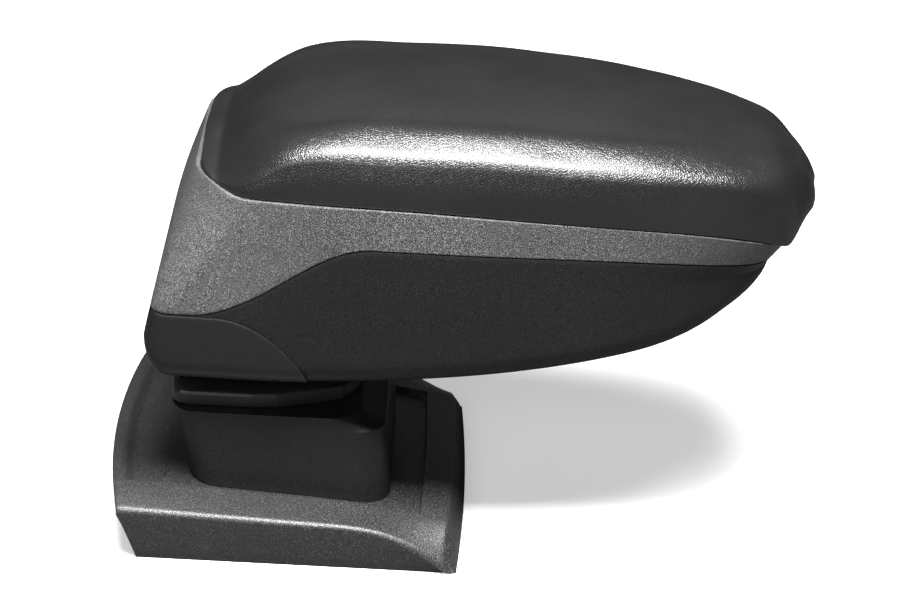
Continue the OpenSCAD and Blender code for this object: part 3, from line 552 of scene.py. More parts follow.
def rod_tool(
    start: tuple[float, float, float], along: tuple[float, float, float], radius: float,
    sides: int = 40,
) -> bpy.types.Object:
    """Cylinder for use as a cutter or a boss.

    Args:
        start: middle of its first end, in millimetres.
        along: vector from there to its other end.
        radius: its radius.
        sides: number of its flanks.

    Returns:
        The cylinder.
    """
    direction = Vector(along)
    turn = direction.to_track_quat("Z", "Y").to_matrix()
    a = np.linspace(0.0, 2.0 * math.pi, sides, endpoint=False)
    ring = np.stack([radius * np.cos(a), radius * np.sin(a), np.zeros(sides)], -1)
    ring = ring @ np.array(turn).T + np.array(start)
    return loft("rod_tool", np.stack([ring, ring + np.array(along)]), LINER)


def apply_modifiers(obj: bpy.types.Object) -> None:
    """Bakes the object's modifiers into its mesh.

    Args:
        obj: object that changes.
    """
    graph = bpy.context.evaluated_depsgraph_get()
    mesh = bpy.data.meshes.new_from_object(obj.evaluated_get(graph))
    old, obj.data = obj.data, mesh
    obj.modifiers.clear()
    mesh.name = obj.name
    bpy.data.meshes.remove(old)


def carve(obj: bpy.types.Object, tools: list[bpy.types.Object], how: str = "DIFFERENCE") -> None:
    """Cuts tools out of an object, or adds them to it, and removes the tools.

    Args:
        obj: object that changes.
        tools: cutters or lugs.
        how: operation of the Boolean modifier.
    """
    for tool in tools:
        step = obj.modifiers.new("carve", "BOOLEAN")
        step.operation = how
        step.solver = "EXACT"
        step.object = tool
    bpy.context.view_layer.update()
    apply_modifiers(obj)
    for tool in tools:
        mesh = tool.data
        bpy.data.objects.remove(tool)
        bpy.data.meshes.remove(mesh)


def finish_edges(obj: bpy.types.Object, width: float, sharp: float = 32.0, steps: int = 2) -> None:
    """Rounds the sharp edges a little and shades the rest smooth.

    Args:
        obj: object that changes.
        width: width of the rounding, in millimetres, or 0 for none.
        sharp: angle in degrees above which an edge counts as sharp.
        steps: segments of the rounding.
    """
    if width > 0.0:
        round_off = obj.modifiers.new("round_off", "BEVEL")
        round_off.width = width * MM
        round_off.segments = steps
        round_off.limit_method = "ANGLE"
        round_off.angle_limit = math.radians(sharp)
        round_off.use_clamp_overlap = True
        bpy.context.view_layer.update()
        apply_modifiers(obj)
    mesh = obj.data
    mesh.polygons.foreach_set("use_smooth", np.ones(len(mesh.polygons), dtype=bool))
    mesh.set_sharp_from_angle(angle=math.radians(sharp + 12.0))
    mesh.update()


def settle(obj: bpy.types.Object, body: Body, slot: str, *nodes: str) -> bpy.types.Object:
    """Attaches a finished piece to its body, hides the CAD nodes that it stands for, and reports
    it.

    Args:
        obj: the piece.
        body: body that it rides on.
        slot: not used.
        nodes: CAD nodes that it stands for.

    Returns:
        The same piece.
    """
    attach(obj, body.value)
    if nodes:
        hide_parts(*nodes)
    LOG.info("%s: %d faces, rides on %s", obj.name, len(obj.data.polygons), body.value)
    return obj


def join(obj: bpy.types.Object, parts: list[bpy.types.Object]) -> None:
    """Adds the meshes of other objects to one object, and removes the others.

    Args:
        obj: object that changes.
        parts: objects that it takes in.
    """
    work = bmesh.new()
    work.from_mesh(obj.data)
    for part in parts:
        work.from_mesh(part.data)
    work.to_mesh(obj.data)
    work.free()
    for part in parts:
        mesh = part.data
        bpy.data.objects.remove(part)
        bpy.data.meshes.remove(mesh)


# ---- form of the arm


@dataclass(frozen=True)
class ArmForm:
    """Surface that the arm's shells share; heights count from its lowest face.

    Args:
        rear: distance of the rear face behind the origin.
        nose: reach of the shells' nose.
        half: half width at the widest.
        wall: wall of the shells.
        seam_front: height of the seam in front.
        seam_rear: height of the seam at the rear.
        gap: gap between the shells.
        belly_r: radius of the bottom edges.
        rear_r: radius of the rear corners at the bottom.
        corner_gain: growth of that radius up the hood.
        deck_up: height of the cushion's lower edge.
        base_z: height of the arm's lowest face over the floor.
        tip: half width at the very tip.
    """

    rear: float = 77.4
    nose: float = 221.0
    half: float = 70.0
    wall: float = 2.6
    seam_front: float = 78.0
    seam_rear: float = 37.7
    gap: float = 0.6
    belly_r: float = 14.0
    rear_r: float = 9.0
    corner_gain: float = 26.0
    deck_up: float = 99.4
    base_z: float = 87.6
    tip: float = 1.5

    def lean(self, z: Array) -> Array:
        """Forward shift of the leaning rear face, growing with height over 22."""
        d = np.maximum(np.asarray(z, dtype=float) - 22.0, 0.0)
        return 0.17 * d + 0.00125 * d * d

    def fade(self, s: Array) -> Array:
        """Share of that shift at a station: 1 at the rear, 0 from 95 on."""
        return 1.0 - smooth((np.asarray(s) + self.rear) / 95.0)

    def real_x(self, s: Array, z: Array) -> Array:
        """Station plus the rear's lean plus the nose's push, 0.75 for each mm over 64."""
        push = 0.75 * np.maximum(np.asarray(z, dtype=float) - 64.0, 0.0)
        return s + self.lean(z) * self.fade(s) + push * smooth((s - 120.0) / (self.nose - 120.0))

    def seam(self, s: Array) -> Array:
        """Height of the seam: an S from rear to front, falling again to the nose."""
        x = s + 3.0 * self.fade(s)
        rise = mix(self.seam_rear, self.seam_front, smooth((x + 56.0) / 86.0))
        return rise - 11.0 * (np.maximum(x - 90.0, 0.0) / 130.0) ** 2.6

    def deck_x(self, x: Array) -> Array:
        """Height of the cushion's lower edge: flat, falling to the nose, rising at the rear.

        Args:
            x: places along the arm.

        Returns:
            Heights over the arm's lowest face.
        """
        return (
            self.deck_up
            - 0.00023 * np.maximum(np.asarray(x) + 10.0, 0.0) ** 2
            - 8.0 * (np.maximum(np.asarray(x) - 120.0, 0.0) / 95.0) ** 3
            + 4.0 * smooth((-30.0 - x) / 22.0)
        )

    def deck(self, s: Array) -> Array:
        """The same at a station of the shells."""
        shift = self.lean(100.0) * self.fade(s) + 6.0 * smooth((s - 120.0) / (self.nose - 120.0))
        return self.deck_x(s + shift)

    def edge_at(self, x: Array) -> Array:
        """Height of the hood's edge, whose station is found by repeated small steps.

        Args:
            x: places along the arm.

        Returns:
            Heights over the arm's lowest face.
        """
        s = np.array(x, dtype=float)
        for _ in range(8):
            s = s + 0.8 * (x - self.real_x(s, self.deck(s)))
        return self.deck(np.minimum(s, self.nose))

    def under_board(self, x: Array) -> Array:
        """Height of the underside of the 5 mm board under the cushion."""
        return self.edge_at(x) - 5.3

    def belly(self, s: Array) -> Array:
        """Height of the bottom line: slow rise, faster to the nose, round at the rear.

        Args:
            s: stations.

        Returns:
            Heights over the arm's lowest face.
        """
        s = np.asarray(s, dtype=float)
        slow = 3.5 * (np.maximum(s + 46.0, 0.0) / 82.0) ** 2.1
        slow_tip = 3.5 * ((self.nose + 46.0) / 82.0) ** 2.1
        tip_z = float(self.seam(np.array(self.nose))) - 3.0
        fast = (tip_z - slow_tip) * (np.maximum(s - 145.0, 0.0) / (self.nose - 145.0)) ** 3
        d = np.maximum(self.belly_r - s - self.rear, 0.0)
        turn = self.belly_r - np.sqrt(np.maximum(self.belly_r**2 - d * d, 0.0))
        return slow + fast + np.where(d > 0.0, turn, 0.0)

    def side(self, s: Array, z: Array) -> Array:
        """Half width: rounded rear corners, a blunt nose and a slight draft downwards.

        Args:
            s: stations.
            z: heights over the arm's lowest face.

        Returns:
            Half widths.
        """
        z = np.asarray(z, dtype=float)
        r = self.rear_r + self.corner_gain * smooth((z - 30.0) / 75.0)
        w = self.half - 2.5 * (1.0 - smooth((s + self.rear) / 90.0))
        t = clamp((s - 60.0) / (self.nose - 60.0), 0.0, 1.0)
        plan = (w - r * circle_inset((s + self.rear) / r)) * (1.0 - t**2.4) ** 0.27
        draft = 0.972 + 0.028 * clamp(z / 78.0, 0.0, 1.0)
        draft = draft - 0.04 * self.fade(s) * clamp((z - 40.0) / 60.0, 0.0, 1.0)
        return np.maximum(plan, self.tip) * draft

    def inward(self, s: Array, wall: Array | float) -> Array:
        """Station drawn towards the arm's middle by a wall thickness at the ends."""
        mid, half = (self.nose - self.rear) / 2.0, (self.nose + self.rear) / 2.0
        return mid + (s - mid) * (1.0 - wall / half)

    def stations(self) -> Array:
        """Stations along the arm, close together at both ends."""
        turn = np.radians(np.arange(0.0, 90.0, 6.0))
        rear = -self.rear + self.rear_r * (1.0 - np.cos(turn))
        flank = np.linspace(-self.rear + self.rear_r, 86.0, 52)
        ahead = np.sin(np.radians(np.linspace(0.0, 90.0, 40)))
        nose = 92.0 + (self.nose - 92.0) * ahead
        tail = 92.0 + (self.nose - 92.0) * np.array([0.9992, 0.9996, 0.9998, 0.9999])
        return np.unique(np.concatenate([rear, flank, nose, tail]))


@dataclass(frozen=True)
class Mesher:
    """Fineness of the arm's grids.

    Args:
        flank: steps up a flank of the lower shell.
        turn: steps round a bottom edge.
        floor: steps from the middle to a bottom edge.
        closing: rows over the rear closure.
        hood: steps up the hood.
    """

    flank: int = 22
    turn: int = 12
    floor: int = 6
    closing: int = 12
    hood: int = 26


@dataclass
class LowerShell:
    """The shell under the seam, with its slot, bosses and hinge knuckles.

    Args:
        form: form of the arm.
        mesh: fineness of the grids.
        hinge_x: the lid's hinge, behind the origin.
        hinge_up: its height over the arm's lowest face.
        barrel_r: radius of the hinge knuckles.
        hinge_half: half width of the opening over the hinge.
        slot_half: half width of the neck slot.
        slot_end: front end of the slot in the floor.
        bin_rim: height of the rim that carries the bin.
        knuckles: both ends of each hinge knuckle, away from the middle.
        bin_bosses: place, half spacing and foot of each pair of bosses under the bin.
        bracket_x: places of the bosses under the hinge bracket.
        bracket_y: half spacing of those bosses.
        floor_up: height of their upper face.
        boss_r: radius of every boss.
    """

    form: ArmForm = field(default_factory=ArmForm)
    mesh: Mesher = field(default_factory=Mesher)
    hinge_x: float = 70.6
    hinge_up: float = 32.0
    barrel_r: float = 4.8
    hinge_half: float = 61.5
    slot_half: float = 29.0
    slot_end: float = -18.0
    bin_rim: float = 67.0
    knuckles: tuple[tuple[float, float], ...] = ((30.0, 37.2), (46.8, 54.0))
    bin_bosses: tuple[tuple[float, float, float], ...] = ((-8.0, 55.0, 3.9), (144.0, 46.0, 22.0))
    bracket_x: tuple[float, float] = (-12.0, 50.0)
    bracket_y: float = 24.0
    floor_up: float = 9.0
    boss_r: float = 5.0

    def section(self, s: Array, wall: float) -> tuple[Array, Array]:
        """Points round the section from the right seam to the left.

        Args:
            s: stations, one for each row.
            wall: how far inside the outer face.

        Returns:
            Arrays of y and z, rows by columns.
        """
        form, mesh = self.form, self.mesh
        s = s[:, None]
        top = form.seam(s) - form.gap / 2.0
        low = np.minimum(form.belly(s) + wall, top - 0.8)
        r = np.minimum(form.belly_r, (top - low) * 0.5)
        slim = 1.0 - wall / form.half
        wide = form.side(s, low + r) * slim
        ry = np.minimum(r, wide * 0.5)
        up = np.linspace(0.0, 1.0, mesh.flank)[None, :]
        z_side = mix(top, low + r, up)
        y_side = form.side(s, z_side) * slim
        a = np.radians(np.linspace(0.0, 90.0, mesh.turn + 1)[1:])[None, :]
        y_turn = wide - ry * (1.0 - np.cos(a))
        z_turn = low + r * (1.0 - np.sin(a))
        k = np.linspace(1.0, 0.0, mesh.floor + 1)[None, 1:]
        y_floor = (wide - ry) * k
        z_floor = low + 0.0 * k
        y = np.concatenate([y_side, y_turn, y_floor], 1)
        z = np.concatenate([z_side, z_turn, z_floor], 1)
        return (
            np.concatenate([-y, y[:, -2::-1]], 1),
            np.concatenate([z, z[:, -2::-1]], 1),
        )

    def grid(self, wall: float) -> Array:
        """Grid of one face of the shell, rear closure first.

        Args:
            wall: depth of the face inside the outer one.

        Returns:
            Rows by columns by 3 array, in millimetres.
        """
        form = self.form
        s = form.stations()
        lift = np.linspace(1.0, 0.0, self.mesh.closing + 1)[:-1]
        s = np.concatenate([np.full(lift.size, s[0]), s])
        t = np.concatenate([lift, np.zeros(s.size - lift.size)])[:, None]
        y, z = self.section(s, wall)
        cols = y.shape[1]
        even = y[:, :1] * (1.0 - 2.0 * np.arange(cols)[None, :] / (cols - 1))
        top = (form.seam(s) - form.gap / 2.0)[:, None]
        y, z = mix(y, even, t), mix(z, top, t)
        x = form.real_x(form.inward(s, wall)[:, None] + 0.0 * z, z)
        return np.stack([x, y, z + form.base_z], -1)

    def build(self) -> bpy.types.Object:
        """Builds the shell with its cut-outs and its inner features.

        Returns:
            The finished piece.
        """
        form, z0 = self.form, self.form.base_z
        shell = skin("arm_lower_shell", self.grid(0.0), self.grid(form.wall), SHELL_PLASTIC)
        cut = self.hinge_up - self.barrel_r - 1.0
        back = -form.rear - 5.0
        wide, slot = self.hinge_half, self.slot_half
        carve(shell, [
            box_tool((back, -wide, z0 + cut), (back + 20.0, wide, z0 + 60.0)),
            box_tool((back, -slot, z0 - 1.0), (back + 19.0, slot, z0 + cut + 2.0)),
            box_tool((back, -slot, z0 - 1.0), (self.slot_end, slot, z0 + 7.8)),
        ])
        finish_edges(shell, 0.35)
        parts = []
        for m in (-1.0, 1.0):
            for low, high in self.knuckles:
                y0, y1 = sorted((m * low, m * high))
                start = (-self.hinge_x, y0, z0 + self.hinge_up)
                parts.append(rod_tool(start, (0.0, y1 - y0, 0.0), self.barrel_r))
                heel = -self.hinge_x - self.barrel_r - 0.8
                corner = (heel, y0, z0 + cut - 5.0)
                parts.append(box_tool(corner, (heel + 4.6, y1, z0 + cut + 2.5)))
            for x, y, foot in self.bin_bosses:
                start = (x, m * y, z0 + foot)
                parts.append(rod_tool(start, (0.0, 0.0, self.bin_rim - foot), self.boss_r))
            for x in self.bracket_x:
                foot = float(form.belly(np.array(x))) + 1.3
                start = (x, m * self.bracket_y, z0 + foot)
                parts.append(rod_tool(start, (0.0, 0.0, self.floor_up - foot), self.boss_r))
        join(shell, parts)
        return settle(shell, Body.ARM, "moulded", "lower_shell")


@dataclass
class SideCaps:
    """The two covers over the ends of the tilt axle, one on each side."""

    form: ArmForm = field(default_factory=ArmForm)
    length: float = 80.0
    height: float = 40.0
    thick: float = 1.2
    gap: float = 0.3
    low: float = 1.4

    def grid(self, side: int, off: float) -> Array:
        """Grid of one cap's face at a distance off the shell.

        Args:
            side: 1 for the left, -1 for the right.
            off: distance off the shell, in millimetres.

        Returns:
            Rows by columns by 3 array.
        """
        form = self.form
        x1 = self.length - form.rear
        s = np.linspace(-form.rear + 3.0, x1 - 1.2, 60)[:, None]
        t = clamp((s + 44.0) / (x1 + 44.0), 0.0, 1.0)
        crest = mix(self.low + 0.8, self.height - 2.6, (1.0 - t**1.8) ** 0.7)
        foot = form.belly(s) + self.low
        z = mix(foot, np.maximum(crest, foot + 0.6), np.linspace(0.0, 1.0, 26)[None, :])
        low = form.belly(s)
        d = clamp((form.belly_r - z + low) / form.belly_r, 0.0, 1.0)
        turn = form.belly_r * (1.0 - np.sqrt(1.0 - d * d))
        y = side * (form.side(s, np.maximum(z, low + form.belly_r)) - turn + off)
        x = form.real_x(s + 0.0 * z, z)
        return np.stack([x, y, z + form.base_z], -1)

    def build(self) -> list[bpy.types.Object]:
        """Builds both caps."""
        made = []
        for side, name in ((1, "left"), (-1, "right")):
            cap = skin(
                f"axle_cap_{name}", self.grid(side, self.gap + self.thick),
                self.grid(side, self.gap), CAP_PLASTIC,
            )
            finish_edges(cap, 0.45)
            made.append(settle(cap, Body.ARM, "moulded", f"side_cap_{name}"))
        return made


@dataclass
class Hood:
    """The lid's frame: a ring between the seam and the cushion, with its fixings."""

    form: ArmForm = field(default_factory=ArmForm)
    mesh: Mesher = field(default_factory=Mesher)
    lip: float = 4.0
    hinge_x: float = 70.6
    hinge_up: float = 32.0
    barrel_r: float = 4.8
    lug_in: float = 47.0
    lug_t: float = 6.0
    rib_x: float = 146.0
    bin_top: float = 70.0

    def ring(self, v: float, rear_in: float, side_in: float) -> Array:
        """Closed ring at a share of the hood's height.

        Args:
            v: 0 at the seam, 1 at the cushion.
            rear_in: inset at the rear, in millimetres.
            side_in: inset at the sides and nose, in millimetres.

        Returns:
            Points by 3 array.
        """
        form = self.form
        s0 = form.stations()
        across = np.linspace(0.0, 1.0, 13)[:-1]
        s = np.concatenate([np.full(12, s0[0]), s0, s0[::-1], np.full(11, s0[0])])
        k = np.concatenate([-across, np.full(s0.size, -1.0), np.full(s0.size, 1.0), across[:0:-1]])
        z = mix(form.seam(s) + form.gap / 2.0, form.deck(s), v)
        mid = (form.nose - form.rear) / 2.0
        x = form.real_x(form.inward(s, np.where(s < mid, rear_in, side_in)), z)
        y = k * form.side(s, z) * (1.0 - side_in / form.half)
        return np.stack([x, y, z + form.base_z], -1)

    def build(self) -> bpy.types.Object:
        """Builds the ring with its knuckles, lugs and cross rib.

        Returns:
            The finished piece.
        """
        form, z0 = self.form, self.form.base_z
        steps = np.linspace(0.0, 1.0, self.mesh.hood)
        outer = np.stack([self.ring(v, 0.0, 0.0) for v in steps])
        inner = np.stack([self.ring(v, self.lip, form.wall) for v in steps])
        hood = tube("lid_hood", outer, inner, HOOD_PLASTIC)
        finish_edges(hood, 0.5)
        rib_top = float(form.under_board(np.array(self.rib_x + 3.0))) - 0.3
        rib_half = float(form.side(self.rib_x, self.bin_top)) - form.wall - 1.5
        parts = []
        for m in (-1.0, 1.0):
            y0, y1 = sorted((m * 37.5, m * 46.5))
            axis = (-self.hinge_x, y0, z0 + self.hinge_up)
            parts.append(rod_tool(axis, (0.0, y1 - y0, 0.0), self.barrel_r))
            web = z0 + self.hinge_up + 3.0
            parts.append(box_tool(
                (-self.hinge_x - 2.0, y0, web), (-self.hinge_x + 2.6, y1, web + self.barrel_r + 2)
            ))
            for x in (-24.0, 116.0):
                top = float(form.under_board(np.array(x + 7.0))) - 0.05 + z0
                wide = float(form.side(x, 90.0)) - form.wall / 2.0
                y0l, y1l = sorted((m * self.lug_in, m * wide))
                parts.append(box_tool((x - 7.0, y0l, top - self.lug_t), (x + 7.0, y1l, top)))
            y0, y1 = sorted((m * 14.0, m * rib_half))
            low = z0 + self.bin_top + 5.0
            parts.append(box_tool((self.rib_x, y0, low), (self.rib_x + 3.0, y1, z0 + rib_top)))
            wide = float(form.side(self.rib_x, rib_top)) - form.wall / 2.0
            y0, y1 = sorted((m * (rib_half - 4.0), m * wide))
            parts.append(box_tool(
                (self.rib_x, y0, z0 + rib_top - 5.0), (self.rib_x + 3.0, y1, z0 + rib_top)
            ))
        parts.append(box_tool(
            (self.rib_x, -rib_half, z0 + rib_top - 3.0), (self.rib_x + 3.0, rib_half, z0 + rib_top)
        ))
        join(hood, parts)
        return settle(hood, Body.LID, "moulded", "lid_frame")


@dataclass
class Cushion:
    """The padded leather top of the lid.

    Args:
        form: form of the arm.
        rear: rear end, behind the origin.
        corner: radius of the rear corners.
        nose: front end.
        thick: height of the shoulders over the lower edge.
        crown: rise of the middle over the shoulders.
        bend_y: breadth of the rounded shoulders.
        bend_z: height of the rounded shoulders.
        tip: height of the lower edge at the nose.
        dents: depth, place along and across, length and width of each dent.
        wave: height of the soft waves.
        slim: what the pad loses before it swells.
        give: farthest that a point moves as it swells.
        pressure: pressure in the pad.
        frames: frames of the simulation.
    """

    form: ArmForm = field(default_factory=ArmForm)
    rear: float = 53.0
    corner: float = 31.0
    nose: float = 240.8
    thick: float = 34.0
    crown: float = 3.0
    bend_y: float = 25.0
    bend_z: float = 11.0
    tip: float = 88.0
    dents: tuple[tuple[float, ...], ...] = (
        (1.6, 196.0, -8.0, 13.0, 26.0), (1.8, 226.0, -6.0, 6.0, 24.0),
    )
    wave: float = 0.15
    slim: float = 0.3
    give: float = 1.2
    pressure: float = 4.0
    frames: int = 20

    def half(self, x: Array) -> Array:
        """Half width along the cushion: rounded rear corners and a beak at the nose.

        Args:
            x: places along the arm.

        Returns:
            Half widths.
        """
        t = clamp((x - 60.0) / (self.nose - 60.0), 0.0, 1.0)
        w = self.form.half - 0.6 - 3.5 * (1.0 - smooth((x + 50.0) / 70.0))
        beak = 1.0 - 0.13 * smooth((x - 222.0) / 16.0)
        inset = self.corner * circle_inset((x + self.rear) / self.corner)
        return (w - inset) * beak * (1.0 - t**2.6) ** 0.31

    def low(self, x: Array) -> Array:
        """Height of the lower edge: on the hood's edge, then a beak under the nose."""
        form = self.form
        tip_x = form.real_x(form.nose, form.deck(form.nose))
        return mix(form.edge_at(x), self.tip, smooth((x - tip_x + 4.0) / 12.0)) + 0.15

    def top(self, x: Array) -> Array:
        """Height of the shoulders, falling at the rear and in two steps to the nose.

        Args:
            x: places along the arm.

        Returns:
            Heights over the arm's lowest face.
        """
        return (
            self.form.deck_up + self.thick
            - 33.0 * clamp((26.0 - x) / 76.0, 0.0, 1.0) ** 2.7
            - 12.9 * clamp((x - 70.0) / 140.0, 0.0, 1.2) ** 1.8
            - 22.0 * clamp((x - 212.0) / 29.0, 0.0, 1.0) ** 2.9
        )

    def rings(self) -> Array:
        """Closed sections along the cushion.

        Returns:
            Rings by points by 3 array.
        """
        rear = -self.rear + (np.linspace(0.0, 1.0, 28) ** 2) * 52.0
        flank = np.linspace(2.5, 141.0, 40)
        ahead = 148.0 + (self.nose - 148.0) * np.sin(np.radians(np.linspace(0.0, 89.6, 46)))
        x = np.concatenate([rear, flank, ahead])[:, None]
        low = self.low(x)
        hw = np.maximum(self.half(x) - self.slim, 2.0)
        top = np.maximum(self.top(x), low + 4.5) - self.slim
        back = smooth((-8.0 - x) / 34.0)
        rz = np.minimum(self.bend_z + 8.0 * smooth((x - 190.0) / 45.0), (top - low) * 0.6)
        rz = mix(rz, (top - low) * 0.8, back)
        ry = np.minimum(self.bend_y + 14.0 * back, hw * 0.7)
        crown = self.crown * (1.0 - 0.6 * back)
        up = np.linspace(0.0, 1.0, 8)[None, :-1]
        y_low = np.concatenate([hw - 3.0, hw - 1.0, hw - 0.25], 1)
        z_low = np.concatenate([low, low, low + 0.5], 1)
        z_side = mix(low + 1.4, top - rz, up)
        y_side = hw + 0.7 * np.sin(np.pi * up) * clamp((top - rz - low) / 14.0, 0.0, 1.0)
        a = np.radians(np.linspace(0.0, 90.0, 20))[None, :]
        y_turn, z_turn = hw - ry * (1.0 - np.cos(a)), top - rz * (1.0 - np.sin(a))
        k = np.linspace(1.0, 0.0, 10)[None, 1:-1]
        y_top, z_top = (hw - ry) * k, top + crown * (1.0 - k * k)
        y = np.concatenate([y_low, y_side, y_turn, y_top], 1)
        z = np.concatenate([z_low, z_side, z_turn, z_top], 1)
        middle, foot = np.zeros_like(hw), np.linspace(-0.8, 0.8, 5)[None, :]
        y = np.concatenate([y, middle, -y[:, ::-1], foot * (hw - 3.0)], 1)
        z = np.concatenate([z, top + crown, z[:, ::-1], low + 0.0 * foot], 1)
        rings = np.stack([x + 0.0 * y, y, z + self.form.base_z], -1)
        rear_end, front_end = self.close(rings[0], -0.5)[::-1], self.close(rings[-1], 0.3)
        return np.concatenate([rear_end, rings, front_end])

    def close(self, ring: Array, bulge: float) -> Array:
        """Ever smaller copies of an end ring, which close that end.

        Args:
            ring: the end ring.
            bulge: how far the closure stands out, in millimetres along the arm.

        Returns:
            Rings by points by 3 array.
        """
        shares = np.array([0.75, 0.5, 0.25, 0.08])[:, None, None]
        middle = np.array([ring[0, 0], 0.0, (ring[:, 2].min() + ring[:, 2].max()) / 2.0])
        out = middle + (ring[None] - middle) * shares
        out[..., 0] += bulge * (1.0 - shares[..., 0] ** 2)
        return out

    def swell(self, pad: bpy.types.Object) -> None:
        """Inflates the pad by cloth simulation and holds each point near its start.

        Args:
            pad: the pad, which changes.
        """
        start = np.zeros(len(pad.data.vertices) * 3)
        pad.data.vertices.foreach_get("co", start)
        held = pad.vertex_groups.new(name="held")
        points = start.reshape(-1, 3) / MM
        edge = points[:, 2] - self.form.base_z - self.low(points[:, 0]) < 1.0
        held.add([int(i) for i in np.flatnonzero(edge)], 1.0, "REPLACE")
        cloth = pad.modifiers.new("swell", "CLOTH")
        cloth.settings.vertex_group_mass = held.name
        cloth.settings.use_pressure = True
        cloth.settings.uniform_pressure_force = self.pressure
        cloth.settings.effector_weights.gravity = 0.0
        cloth.point_cache.frame_start, cloth.point_cache.frame_end = 1, self.frames
        for frame in range(1, self.frames + 1):
            bpy.context.scene.frame_set(frame)
        apply_modifiers(pad)
        bpy.context.scene.frame_set(1)
        end = np.zeros_like(start)
        pad.data.vertices.foreach_get("co", end)
        move = (end - start).reshape(-1, 3)
        far = np.linalg.norm(move, axis=1, keepdims=True)
        move *= np.minimum(1.0, self.give * MM / np.maximum(far, 1e-9))
        move = self.calm(pad, move)
        pad.data.vertices.foreach_set("co", (start.reshape(-1, 3) + move).ravel())

    def calm(self, pad: bpy.types.Object, move: Array, rounds: int = 12) -> Array:
        """Evens the movement out between neighbours, so that the pad has no lumps.

        Args:
            pad: the pad.
            move: movement of each point, N by 3.
            rounds: how often each point takes half of its neighbours' mean.

        Returns:
            The evened movement.
        """
        ends = np.zeros(len(pad.data.edges) * 2, dtype=np.int32)
        pad.data.edges.foreach_get("vertices", ends)
        ends = ends.reshape(-1, 2)
        count = np.bincount(ends.ravel(), minlength=len(move))[:, None]
        for _ in range(rounds):
            total = np.zeros_like(move)
            np.add.at(total, ends[:, 0], move[ends[:, 1]])
            np.add.at(total, ends[:, 1], move[ends[:, 0]])
            move = 0.5 * move + 0.5 * total / np.maximum(count, 1)
        return move

    def shape(self, p: Array) -> Array:
        """Final shaping in millimetres: flat foot, dent and soft waves.

        Args:
            p: points, N by 3, in millimetres.

        Returns:
            The moved points.
        """
        x, y, z = p[:, 0], p[:, 1], p[:, 2] - self.form.base_z
        low = self.low(x)
        floor = np.maximum(z, low)
        dent = np.zeros_like(x)
        for depth, at_x, at_y, long, wide in self.dents:
            dent += depth * np.exp(-(((x - at_x) / long) ** 2) - ((y - at_y) / wide) ** 2)
        dent = dent * smooth((z - low - 5.0) / 8.0)
        wave = self.wave * np.sin(x / 17.0 + 0.6) * np.sin(y / 23.0 + 1.1)
        wave = wave * smooth((z - low - 10.0) / 8.0)
        return np.stack([x, y, floor - dent + wave + self.form.base_z], -1)

    def build(self) -> bpy.types.Object:
        """Builds, inflates and finishes the cushion.

        Returns:
            The finished piece.
        """
        pad = loft("lid_leather_pad", self.rings(), LEATHER)
        self.swell(pad)
        points = np.zeros(len(pad.data.vertices) * 3)
        pad.data.vertices.foreach_get("co", points)
        points = self.shape(points.reshape(-1, 3) / MM)
        pad.data.vertices.foreach_set("co", (points * MM).ravel())
        soften = pad.modifiers.new("soften", "SUBSURF")
        soften.levels = soften.render_levels = 1
        bpy.context.view_layer.update()
        apply_modifiers(pad)
        pad.data.materials.clear()
        pad.data.materials.append(LEATHER.material())
        pad.data.polygons.foreach_set("use_smooth", np.ones(len(pad.data.polygons), dtype=bool))
        settle(pad, Body.LID, "leather", "lid_cushion")
        return pad


# ---- the base


